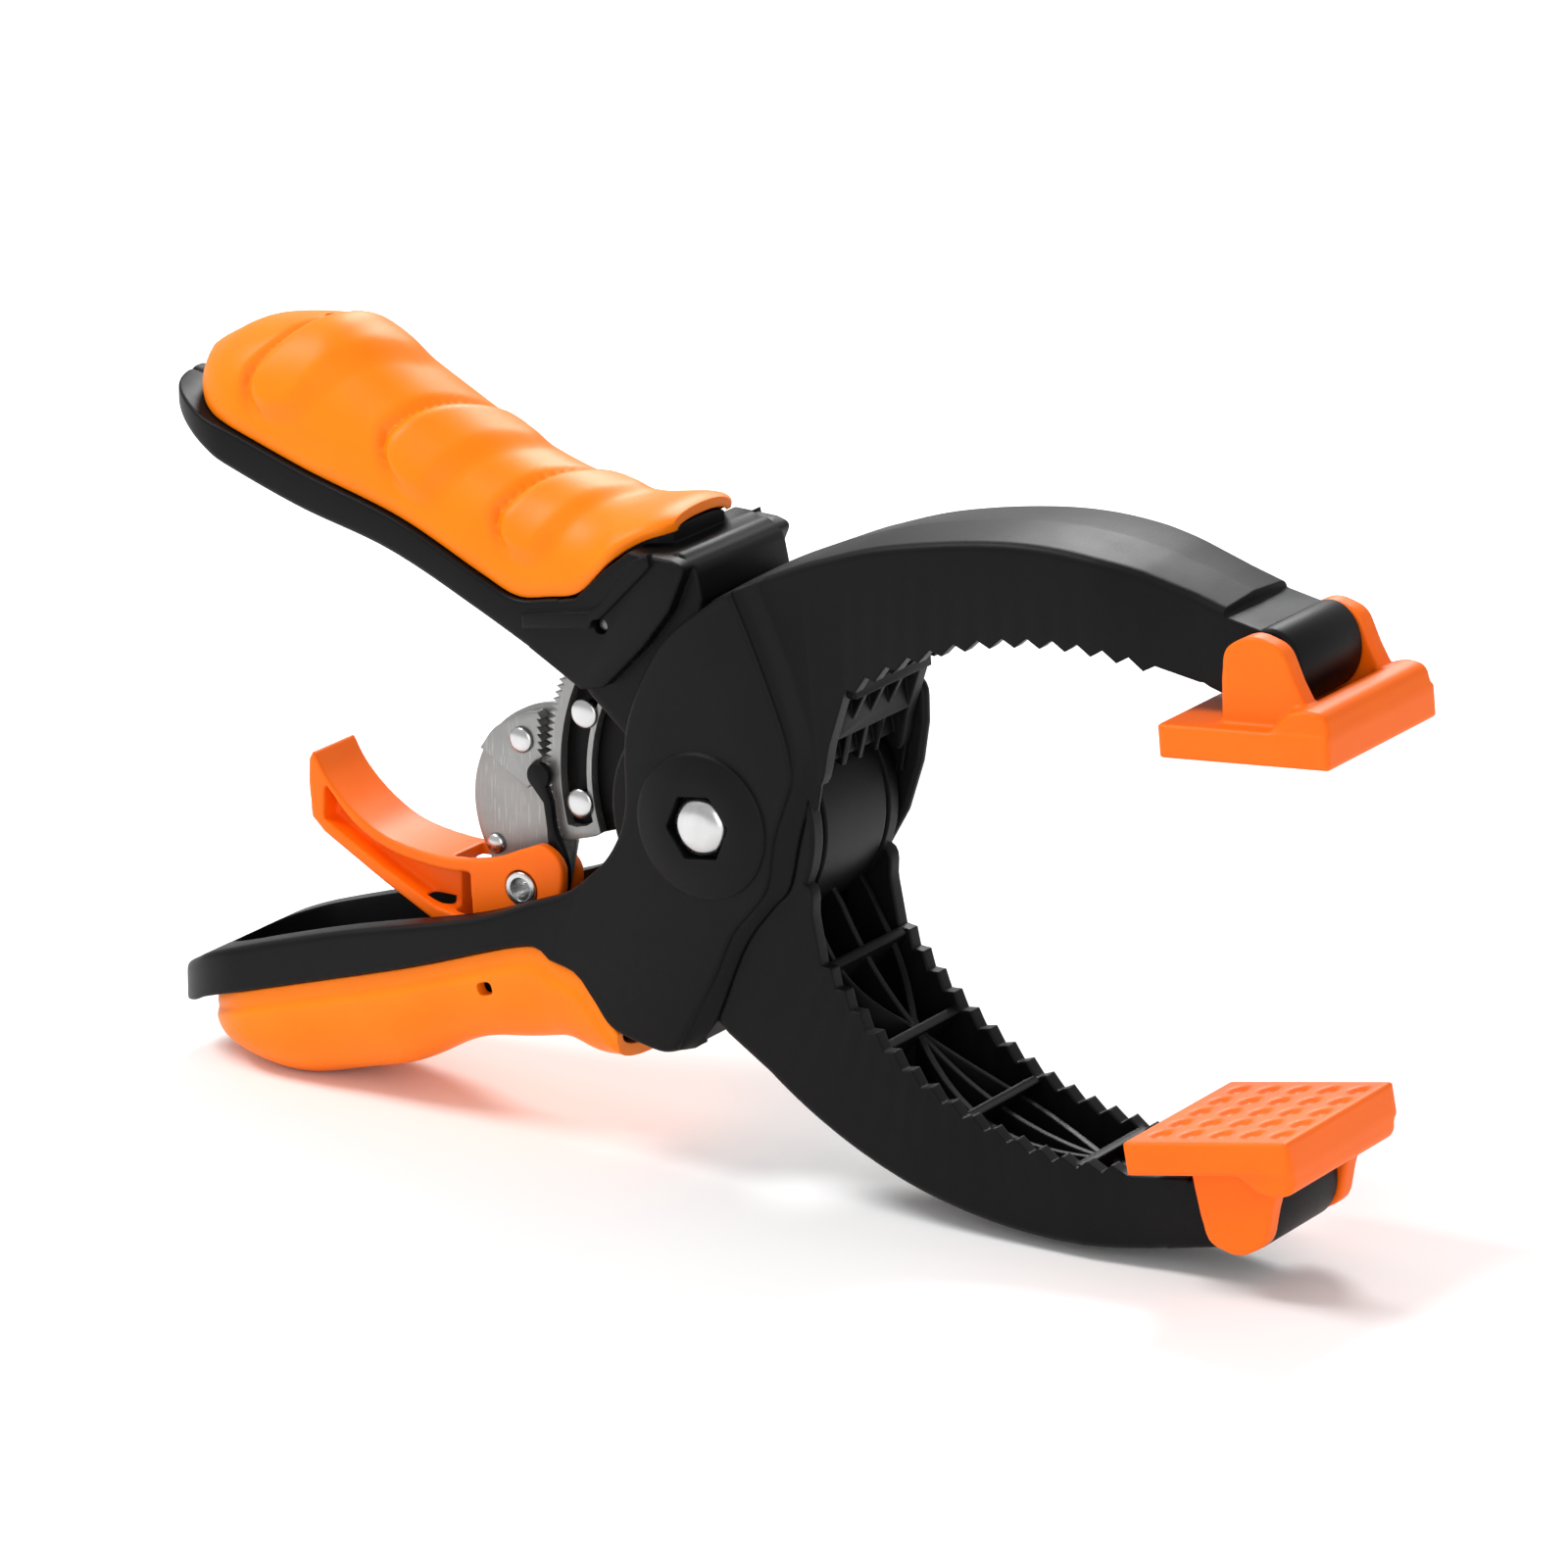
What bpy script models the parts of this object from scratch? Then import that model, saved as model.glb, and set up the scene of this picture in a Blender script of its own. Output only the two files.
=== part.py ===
"""Ratcheting hand clamp: two crossed nylon arms on one pivot, swivel pads, grips and a release lever."""

import math

import bmesh
import bpy
import numpy as np
from mathutils import Matrix, Vector

MM = 0.001

# Frame: +X towards the pads, +Y along the pivot, +Z up, origin under the middle of the clamp.
# Every outline below is in millimetres, as (x, z) measured from the pivot.
PIVOT_X = -1.9
PIVOT_Z = 62.8
GAP = 0.3  # between pieces that touch on the real clamp

# Widths, as distances from the middle plane
CHEEK_OUT = 16.3
CHEEK_IN = 13.8
INNER_HALF = 13.5
RIM_HALF = 16.6
GRIP_HALF = 16.2
GRIP_WALL = 2.2
HANDLE_WALL = 2.2
JAW_ROOT_HALF = 13.5
JAW_TIP_HALF = 10.0
JAW_WALL = 2.8
SPINE = 3.0

# Pivot
HUB_R = 20.0
BOLT_R = 4.0
THREAD_R = 2.6
SLEEVE_R = 6.0
BOLT_HEAD_R = 5.2
DOME_R = 11.0
DOME_TOP = 17.6
BOLT_FACE = 17.9

# Pads: plate length, half width, thickness, and how far its clamp face lies from its pin
PAD_LENGTH = 31.0
PAD_HALF = 17.8
PAD_THICK = 5.7
PAD_DROP = 13.3
TONGUE_HALF = (5.6, 7.2)
PAD_PIN_R = 1.6
PAD_SHIFT = -1.6  # from the pin to the middle of the plate
UPPER_PIN = (103.6, 42.4)
LOWER_PIN = (101.2, -48.4)
UPPER_PAD_TILT = 5.6
LOWER_PAD_TILT = 11.1

# Ratchet, in planes side by side along Y
RACK_TIP_R = 41.2
RACK_ROOT_R = 39.9
RACK_WINDOW_R = (32.6, 38.0)
RACK_INNER_R = 31.7
RACK_FROM = 150.0
RACK_TO = 199.5
RACK_TEETH = 28
RACK_PLANE = (-1.9, 0.1)
WEB_PLANE = (0.4, 3.4)
WEB_R = 38.5
PLATE_PLANE = (0.6, 2.2)
PLATE_R = 19.0
PLATE_CENTRE = (-38.5, -9.0)
PLATE_CLEAR_R = 39.6
PAWL_PLANE = (-2.1, 0.3)
PAWL_EDGE_R = 41.6
PAWL_PIN = (-45.7, 3.3)
FINGER_PLANE = (-3.9, -2.4)
LEVER_PIN = (-43.3, -21.7)
LEVER_PIN_R = 3.0
LEVER_HALF = 6.2
FORK_IN = 4.2
RIVET_R = 34.4

# Swept room that the outer arm leaves between its cheeks, as angles about the pivot
STOP_ANGLE = 91.5
FLOOR_ANGLE = 236.0

# Jaws and the room round them
TOOTH_DEPTH = 1.6
RIB = 1.6
LOWER_SPINE_X = 66.7
LOWER_SPINE_Z = 31.0
LOWER_SPINE_R = 92.3
FLOOR_R = 37.6
HOLLOW_HALF = 10.9

# Pad ears, springs, pins and rivets
EAR_R = 6.8
EAR_OUT = 14.2
SPRING_WIRE = 2.2
SPRING_R = 9.6
SPRING_TURNS = 3
SPRING_Y = (-12.2, -5.2)
SPRING_SEAT = -3.8
SPRING_LEG_OUT = (SPRING_R, 0.0)
SPRING_LEG_IN = (SPRING_R, 0.0)
ROOT_PIN = (-19.9, 31.2)
ROOT_PIN_R = 1.1
RIVET_ANGLES = (163.0, 190.0)
RIVET_SHANK_R = 1.5
PLATE_RIVET = (-53.0, -17.2)
PAWL_TEETH = 6

COLOURS = {
    "black_nylon": ((0.016, 0.016, 0.017), 0.5, 0.0),
    "orange_grip": ((0.85, 0.16, 0.012), 0.45, 0.0),
    "orange_plastic": ((0.87, 0.13, 0.01), 0.4, 0.0),
    "stamped_steel": ((0.36, 0.36, 0.35), 0.35, 0.9),
    "bright_steel": ((0.62, 0.62, 0.62), 0.22, 1.0),
    "spring_steel": ((0.2, 0.2, 0.21), 0.35, 1.0),
}


# ---------------------------------------------------------------- scene and helpers

def clear_scene():
    for obj in list(bpy.data.objects):
        bpy.data.objects.remove(obj, do_unlink=True)


def new_collection(name, hidden=False):
    found = bpy.data.collections.new(name)
    bpy.context.scene.collection.children.link(found)
    found.hide_render = hidden
    return found


def make_material(name):
    colour, roughness, metallic = COLOURS[name]
    material = bpy.data.materials.new(name)
    material.use_nodes = True
    shader = material.node_tree.nodes["Principled BSDF"]
    shader.inputs["Base Color"].default_value = (*colour, 1.0)
    shader.inputs["Roughness"].default_value = roughness
    shader.inputs["Metallic"].default_value = metallic
    return material


clear_scene()
CLAMP = new_collection("ratcheting_hand_clamp")
CUTTERS = new_collection("cutters", hidden=True)
MATERIALS = {name: make_material(name) for name in COLOURS}


def make_axis(name, x, z, parent=None):
    """An empty on a joint's axis, x and z in millimetres from the pivot."""
    empty = bpy.data.objects.new(name, None)
    CLAMP.objects.link(empty)
    if parent is None:
        empty.location = Vector((PIVOT_X, 0.0, PIVOT_Z)) * MM
    else:
        empty.parent = parent
        empty.location = Vector((x, 0.0, z)) * MM - Vector(parent["offset"])
    empty["offset"] = (x * MM, 0.0, z * MM)
    return empty


def finish_object(name, bm, material, axis):
    """A mesh object whose vertices, in metres from the pivot, are moved to its axis."""
    offset = Vector(axis["offset"])
    bmesh.ops.translate(bm, verts=bm.verts, vec=-offset)
    bmesh.ops.recalc_face_normals(bm, faces=bm.faces)
    mesh = bpy.data.meshes.new(name)
    bm.to_mesh(mesh)
    bm.free()
    obj = bpy.data.objects.new(name, mesh)
    obj.parent = axis
    if material is None:
        CUTTERS.objects.link(obj)
        obj.hide_render = True
        obj.display_type = "WIRE"
    else:
        CLAMP.objects.link(obj)
        mesh.materials.append(MATERIALS[material])
        mesh.shade_smooth()
        mesh.set_sharp_from_angle(angle=math.radians(35))
    return obj


def combine(target, operation, others):
    for other in others:
        modifier = target.modifiers.new(other.name, "BOOLEAN")
        modifier.operation = operation
        modifier.solver = "EXACT"
        modifier.object = other


def join(target, *others):
    combine(target, "UNION", others)


def cut(target, *others):
    combine(target, "DIFFERENCE", others)


# ---------------------------------------------------------------- shapes

def curve(points, samples=6):
    """A smooth run through (x, z) points, as a Catmull-Rom spline."""
    points = [np.array(p, float) for p in points]
    padded = [2 * points[0] - points[1], *points, 2 * points[-1] - points[-2]]
    out = []
    for i in range(1, len(padded) - 2):
        a, b, c, d = padded[i - 1:i + 3]
        for k in range(samples):
            t = k / samples
            out.append(0.5 * (2 * b + (c - a) * t + (2 * a - 5 * b + 4 * c - d) * t ** 2
                              + (3 * b - a - 3 * c + d) * t ** 3))
    out.append(points[-1])
    return out


def height(points):
    """z as a smooth function of x, from (x, z) points in order of x."""
    run = np.array(curve(points, 8))
    return lambda x: float(np.interp(x, run[:, 0], run[:, 1]))


def polar(radius, degrees, centre=(0.0, 0.0)):
    angle = math.radians(degrees)
    return (centre[0] + radius * math.cos(angle), centre[1] + radius * math.sin(angle))


def arc(radius, start, end, steps, centre=(0.0, 0.0)):
    return [polar(radius, start + (end - start) * i / steps, centre) for i in range(steps + 1)]


def oval(half_x, half_z, centre):
    return [(centre[0] + half_x * x, centre[1] + half_z * z) for x, z in arc(1, 0, 345, 23)]


def plate_mesh(outline, y_low, y_high):
    """A flat outline given thickness along Y."""
    bm = bmesh.new()
    verts = [bm.verts.new(Vector((x, y_low, z)) * MM) for x, z in outline]
    face = bm.faces.new(verts)
    grown = bmesh.ops.extrude_face_region(bm, geom=[face])
    moved = [item for item in grown["geom"] if isinstance(item, bmesh.types.BMVert)]
    bmesh.ops.translate(bm, verts=moved, vec=Vector((0, (y_high - y_low) * MM, 0)))
    return bm


def plate(name, outline, y_low, y_high, material, axis):
    return finish_object(name, plate_mesh(outline, y_low, y_high), material, axis)


def rod_mesh(x, z, y_low, y_high, radius, segments=24, end_radius=None):
    """A round bar along Y, or a taper when its far end has another radius."""
    bm = bmesh.new()
    place = Matrix.Translation(Vector((x, (y_low + y_high) / 2, z)) * MM)
    place = place @ Matrix.Rotation(math.radians(-90), 4, "X")
    bmesh.ops.create_cone(
        bm, cap_ends=True, segments=segments, radius1=radius * MM,
        radius2=(radius if end_radius is None else end_radius) * MM,
        depth=(y_high - y_low) * MM, matrix=place,
    )
    return bm


def rod(name, x, z, y_low, y_high, radius, material, axis, segments=24, end_radius=None):
    bm = rod_mesh(x, z, y_low, y_high, radius, segments, end_radius)
    return finish_object(name, bm, material, axis)


def turned(name, x, z, profile, material, axis, segments=24):
    """A solid turned about Y from (radius, y) points that start and end on the axis."""
    bm = bmesh.new()
    verts = [bm.verts.new(Vector((x + r, y, z)) * MM) for r, y in profile]
    edges = [bm.edges.new(pair) for pair in zip(verts, verts[1:])]
    bmesh.ops.spin(
        bm, geom=verts + edges, cent=Vector((x, 0, z)) * MM, axis=(0, 1, 0),
        angle=math.tau, steps=segments, use_merge=True,
    )
    bmesh.ops.remove_doubles(bm, verts=bm.verts, dist=1e-6)
    return finish_object(name, bm, material, axis)


def loft(name, rings, material, axis):
    """A closed body through rings of equal point count, capped at both ends."""
    bm = bmesh.new()
    rows = [[bm.verts.new(Vector(p) * MM) for p in ring] for ring in rings]
    count = len(rows[0])
    for a, b in zip(rows, rows[1:]):
        for i in range(count):
            j = (i + 1) % count
            bm.faces.new((a[i], a[j], b[j], b[i]))
    bm.faces.new(rows[0])
    bm.faces.new(rows[-1])
    return finish_object(name, bm, material, axis)


def wire_coil(name, points, wire, axis):
    """A round wire along points, in millimetres from the pivot."""
    data = bpy.data.curves.new(name, "CURVE")
    data.dimensions = "3D"
    data.bevel_depth = wire / 2 * MM
    data.bevel_resolution = 1
    data.use_fill_caps = True
    spline = data.splines.new("POLY")
    spline.points.add(len(points) - 1)
    offset = Vector(axis["offset"])
    for slot, point in zip(spline.points, points):
        slot.co = (*(Vector(point) * MM - offset), 1.0)
    obj = bpy.data.objects.new(name, data)
    obj.parent = axis
    CLAMP.objects.link(obj)
    data.materials.append(MATERIALS["spring_steel"])
    return obj


# ---------------------------------------------------------------- handles and grips

def nose_width(x, full, start, length):
    """Half width of a handle at x, closing in an ellipse past its start."""
    u = max(0.0, (start - x) / length)
    return full * math.sqrt(max(0.0, 1 - u * u))


def bowl(half, z_edge, z_deep, steps, power=2.6):
    """Half a rounded trough section, from its edge at +Y to its bottom in the middle."""
    out = []
    for i in range(steps + 1):
        angle = math.pi / 2 * i / steps
        y = half * math.cos(angle) ** (2 / power)
        z = z_edge + (z_deep - z_edge) * math.sin(angle) ** (2 / power)
        out.append((y, z))
    return out


def both_sides(half_run):
    """A run of (y, z) from +Y to the middle, carried on to -Y."""
    return half_run + [(-y, z) for y, z in reversed(half_run[:-1])]


# Lower handle (part of the outer arm): rim, foot of the bare black band, and belly of the grip
LOWER_RIM = height([(-116, -49.4), (-108, -44.6), (-99.5, -40.4), (-75.5, -32.6), (-48, -25.2),
                    (-34.2, -19.6), (-27.4, -16.6), (-21.4, -11.7), (-12, -6)])
LOWER_BAND = height([(-116, -55.4), (-108, -52.4), (-99, -48.6), (-61.7, -36.9), (-36.7, -28.2),
                     (-31, -29.6), (-25.6, -31.0), (-22, -34.9), (-18.3, -39.2), (-15, -43)])
LOWER_BELLY = height([(-110, -57.5), (-105.6, -59.6), (-97, -62.2), (-88, -62.8), (-78, -61.4),
                      (-67, -57.6), (-56, -52.4), (-44.5, -48.2), (-32, -46.2), (-24, -47.2),
                      (-16, -45.4)])
# Upper handle (part of the inner arm): the same, with the crown in place of the belly
UPPER_RIM = height([(-114.5, 56.6), (-108, 52.6), (-101, 48.8), (-96, 46.6), (-81, 41.7), (-63, 37.3),
                    (-46, 30.3), (-28.6, 21.8), (-20, 17)])
UPPER_BAND = height([(-114.5, 61.0), (-108, 58.6), (-101, 55.0), (-95, 53.2), (-80, 48.4), (-61, 43.2),
                     (-45, 36.3), (-37.4, 33.4), (-31, 34.2), (-24.7, 36.0), (-19, 41.9),
                     (-14.2, 45.6), (-9, 47.4)])
UPPER_CROWN = height([(-111, 62.5), (-104, 66.8), (-97, 70.0), (-83, 71.8), (-76, 69.6),
                      (-66, 64.2), (-56, 59.0), (-44, 54.0), (-31.5, 50.8), (-22, 49.8),
                      (-13.6, 50.8), (-9, 49.6)])
LOWER_STATIONS = [-108, -107, -105, -101, -97, -91, -84, -77, -70, -63, -56, -49, -42, -36.7,
                  -31, -25.6, -21, -17.5]
UPPER_STATIONS = [-109, -108, -106, -102, -97, -91, -85, -79, -72, -65, -58, -51, -44, -37.4,
                  -31, -24.7, -19, -14.2, -10.5]
GRIP_MOST = 1.4  # least height that a grip's end keeps


def handle_rings(stations, rim, band, deep, nose, grip_nose, power):
    """U sections of a handle: bare band at the rim, then a narrower core inside the grip."""
    rings = []
    for x in stations:
        half = max(nose_width(x, RIM_HALF, *nose), 3.2)
        half = min(half, float(np.interp(x, (-46, -32), (RIM_HALF, CHEEK_OUT - 0.2))))
        core = max(min(nose_width(x, GRIP_HALF, *grip_nose), half) - GRIP_WALL - GAP, 1.8)
        down = 1 if deep(x) > band(x) else -1
        foot = band(x) - down * GAP
        end = deep(x) - down * (GRIP_WALL + GAP)
        if down * (end - foot) < 1.0:
            end = foot + down * 1.0
        inside = max(core - HANDLE_WALL, 0.8)
        hollow = end - down * HANDLE_WALL
        open_share = min(1.0, (x - stations[0]) / 9 + 0.1)
        hollow = rim(x) + (hollow - rim(x)) * open_share
        outer = [(half, rim(x)), (half, foot)] + bowl(core, foot, end, 6, power)
        inner = bowl(inside, rim(x), hollow, 4)
        outer = both_sides(outer)
        inner = both_sides(inner)
        rings.append([(x, y, z) for y, z in outer] + [(x, y, z) for y, z in reversed(inner)])
    return rings


def grip_rings(stations, band, deep, grip_nose, power):
    """U sections of a grip, a soft sleeve round a handle's core."""
    rings = []
    for x in stations:
        half = max(nose_width(x, GRIP_HALF, *grip_nose), 4.2)
        down = 1 if deep(x) > band(x) else -1
        end = deep(x)
        if down * (end - band(x)) < GRIP_MOST + GRIP_WALL:
            end = band(x) + down * (GRIP_MOST + GRIP_WALL)
        outer = both_sides(bowl(half, band(x), end, 6, power))
        inner = both_sides(bowl(half - GRIP_WALL, band(x), end - down * GRIP_WALL, 6, power))
        rings.append([(x, y, z) for y, z in outer] + [(x, y, z) for y, z in reversed(inner)])
    return rings


def core_rings(stations, low):
    """Sections of the solid end of the upper handle that fills its grip."""
    rings = []
    half = GRIP_HALF - GRIP_WALL - GAP - 0.35
    for x in stations:
        end = UPPER_CROWN(x) - GRIP_WALL - GAP - 0.2
        run = [(half, low)] + bowl(half, UPPER_BAND(x) - GAP, end, 5, 2.3)
        rings.append([(x, y, z) for y, z in both_sides(run)])
    return rings


# ---------------------------------------------------------------- jaws

def jaw_half(x):
    """Half width of a jaw, full at its root and narrower at its tip."""
    widths = (JAW_ROOT_HALF, JAW_ROOT_HALF - 1.2, JAW_TIP_HALF)
    return float(np.interp(x, (40, 72, 94), widths))


def jaw_ring(outer, inner, tooth=0.0):
    """A U section between a point on the spine and one on the toothed edge."""
    outer = np.array(outer, float)
    inner = np.array(inner, float)
    inward = (inner - outer) / np.linalg.norm(inner - outer)
    edge = inner - inward * tooth
    floor = outer + inward * SPINE
    half = jaw_half(outer[0])
    thin = half - JAW_WALL
    section = [(edge, half), (outer, half), (outer, -half), (edge, -half),
               (edge, -thin), (floor, -thin), (floor, thin), (edge, thin)]
    return [(p[0], y, p[1]) for p, y in section]


def toothed_rings(spine, spine_x, centre, radius, angles, teeth):
    """Sections along a toothed edge on an arc, one at each tooth's tip and one at each valley."""
    rings = []
    steps = 2 * teeth
    for i in range(steps + 1):
        share = i / steps
        x = spine_x[0] + (spine_x[1] - spine_x[0]) * share
        inner = polar(radius, angles[0] + (angles[1] - angles[0]) * share, centre)
        rings.append(jaw_ring((x, spine(x)), inner, 0.0 if i % 2 else TOOTH_DEPTH))
    return rings


def lower_spine(x):
    return LOWER_SPINE_Z - math.sqrt(LOWER_SPINE_R ** 2 - (x - LOWER_SPINE_X) ** 2)


def cross_ribs(prefix, places, axis):
    """Thin walls across a jaw's channel, each from a point on its floor to one near its edge."""
    ribs = []
    for n, (floor, edge) in enumerate(places):
        floor = np.array(floor, float)
        edge = np.array(edge, float)
        along = (edge - floor) / np.linalg.norm(edge - floor)
        side = np.array((along[1], -along[0])) * RIB / 2
        foot = floor + along * 1.5
        half = jaw_half(floor[0]) - JAW_WALL + 1.0
        outline = [foot + side, edge + side, edge - side, foot - side]
        ribs.append(plate(f"{prefix}_rib_{n}", outline, -half, half, None, axis))
    return ribs


# ---------------------------------------------------------------- outer arm

def sector(radius, start, end, steps=24):
    return [(0.0, 0.0)] + arc(radius, start, end, steps)


def swept_room(axis):
    """What the inner arm passes through between the cheeks."""
    rooms = [
        arc(HUB_R + 0.8, 0, 352.5, 47),
        sector(70, STOP_ANGLE, 192),
        sector(RACK_TIP_R + 0.7, 186, FLOOR_ANGLE, 12),
        sector(FLOOR_R, FLOOR_ANGLE - 2, 274, 8),
        sector(60, 268, 375, 18),
    ]
    names = ("room_hub", "room_handle", "room_rack", "room_floor", "room_jaw")
    return [plate(n, r, -CHEEK_IN, CHEEK_IN, None, axis) for n, r in zip(names, rooms)]


def cheek_outline():
    top = curve([(-24.5, -14.6), (-18.6, -8.2), (-15.6, 0), (-15.2, 14.5), (-8.7, 29.4),
                 (4.0, 41.2), (10.5, 44.6)], 3)
    right = [(12.5, 40.5), (17.2, 31), (20.6, 20), (21.4, 13), (19.6, 1), (15.6, -9.5),
             (9.8, -18.5), (6.0, -27), (3.4, -35.6), (-3.6, -40.0)]
    bottom = [(-7.0, -41.4), (-11.6, -40.8), (-18.3, -39.0), (-22.2, -34.6), (-25.6, -30.9),
              (-30.0, -29.4)]
    return top + right + bottom


def make_outer_arm(axis):
    spine = height([(-3, 37.0), (8.5, 43.6), (17, 47.6), (34, 53.5), (57, 57.5), (76, 56.7),
                    (94, 52.3), (102, 49.6)])
    root = [
        jaw_ring((-0.4, spine(-0.4)), polar(22.4, 89.5)),
        jaw_ring((8.5, spine(8.5)), polar(22.4, 57)),
        jaw_ring((17, spine(17)), (20.6, 9.6)),
        jaw_ring((22, spine(22)), (23.2, 17.5)),
    ]
    teeth = toothed_rings(spine, (26, 80), (68.4, -27.5), 67.8, (128.5, 77.3), 13)
    end = [jaw_ring((90, spine(90)), (92.6, 38.0))]
    arm = loft("outer_arm", root + teeth + end, "black_nylon", axis)
    x, z = UPPER_PIN
    neck = [(87, 40.6), (87, spine(87) - 0.5), (95, spine(95) - 0.4), (x - 0.4, spine(x) - 0.8),
            (x + 2, z + 5), (x, z - 5), (92.6, 38.1)]
    tongue = plate("outer_neck", neck, -JAW_TIP_HALF, JAW_TIP_HALF, None, axis)
    nose = plate("outer_tongue", oval(*TONGUE_HALF, (x, z)), -JAW_TIP_HALF, JAW_TIP_HALF, None, axis)
    join(arm, tongue, nose)
    places = [((24, 49), (26, 24.5)), ((45, 55), (47.5, 40)), ((72, 56), (71, 43.5))]
    join(arm, *cross_ribs("outer", places, axis))
    stop_wall = [(-0.2, 37.2), (-0.2, 22.9), (3.0, 22.9), (3.0, 38.8)]
    join(arm, plate("outer_stop", stop_wall, -12, 12, None, axis))

    side = cheek_outline()
    for sign, word in ((-1, "front"), (1, "back")):
        low, high = sorted((sign * 12.6, sign * CHEEK_OUT))
        cheek = plate(f"cheek_{word}", side, low, high, None, axis)
        low, high = sorted((sign * (CHEEK_OUT - 0.4), sign * DOME_TOP))
        radii = (DOME_R, DOME_R * 0.62) if sign > 0 else (DOME_R * 0.62, DOME_R)
        dome = rod(f"dome_{word}", 0, 0, low, high, radii[0], None, axis, 36, radii[1])
        join(arm, cheek, dome)

    stations = [-114.9, -113.9, -111.6, *LOWER_STATIONS[:-2]]
    handle = handle_rings(stations, LOWER_RIM, LOWER_BAND, LOWER_BELLY, (-96, 19.3), (-94, 14.5), 3.0)
    join(arm, loft("outer_handle", handle, None, axis))
    floor = arc(FLOOR_R - 1.6, FLOOR_ANGLE - 3, 266, 8)
    floor += [(-4.5, -40.6), (-10.5, -40.4), (-17.2, -38.1), (-21.5, -36.9), (-25.2, -36.2)]
    join(arm, plate("outer_floor", floor, -13.2, 13.2, None, axis))
    cut(arm, *swept_room(axis))

    bores = [
        rod("bolt_bore", 0, 0, -20, 20, BOLT_R + GAP, None, axis, 32),
        rod("head_pocket", 0, 0, -20, -15.4, BOLT_HEAD_R + GAP, None, axis, 32),
        rod("nut_pocket", 0, 0, 15.4, 20, BOLT_HEAD_R + GAP, None, axis, 32),
        rod("upper_pin_bore", x, z, -12, 12, PAD_PIN_R + GAP, None, axis, 16),
        rod("spring_hole", *SPRING_LEG_OUT, -15.3, -12, SPRING_WIRE / 2 + GAP, None, axis, 12),
    ]
    cut(arm, *bores)
    return arm


# ---------------------------------------------------------------- inner arm

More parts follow.
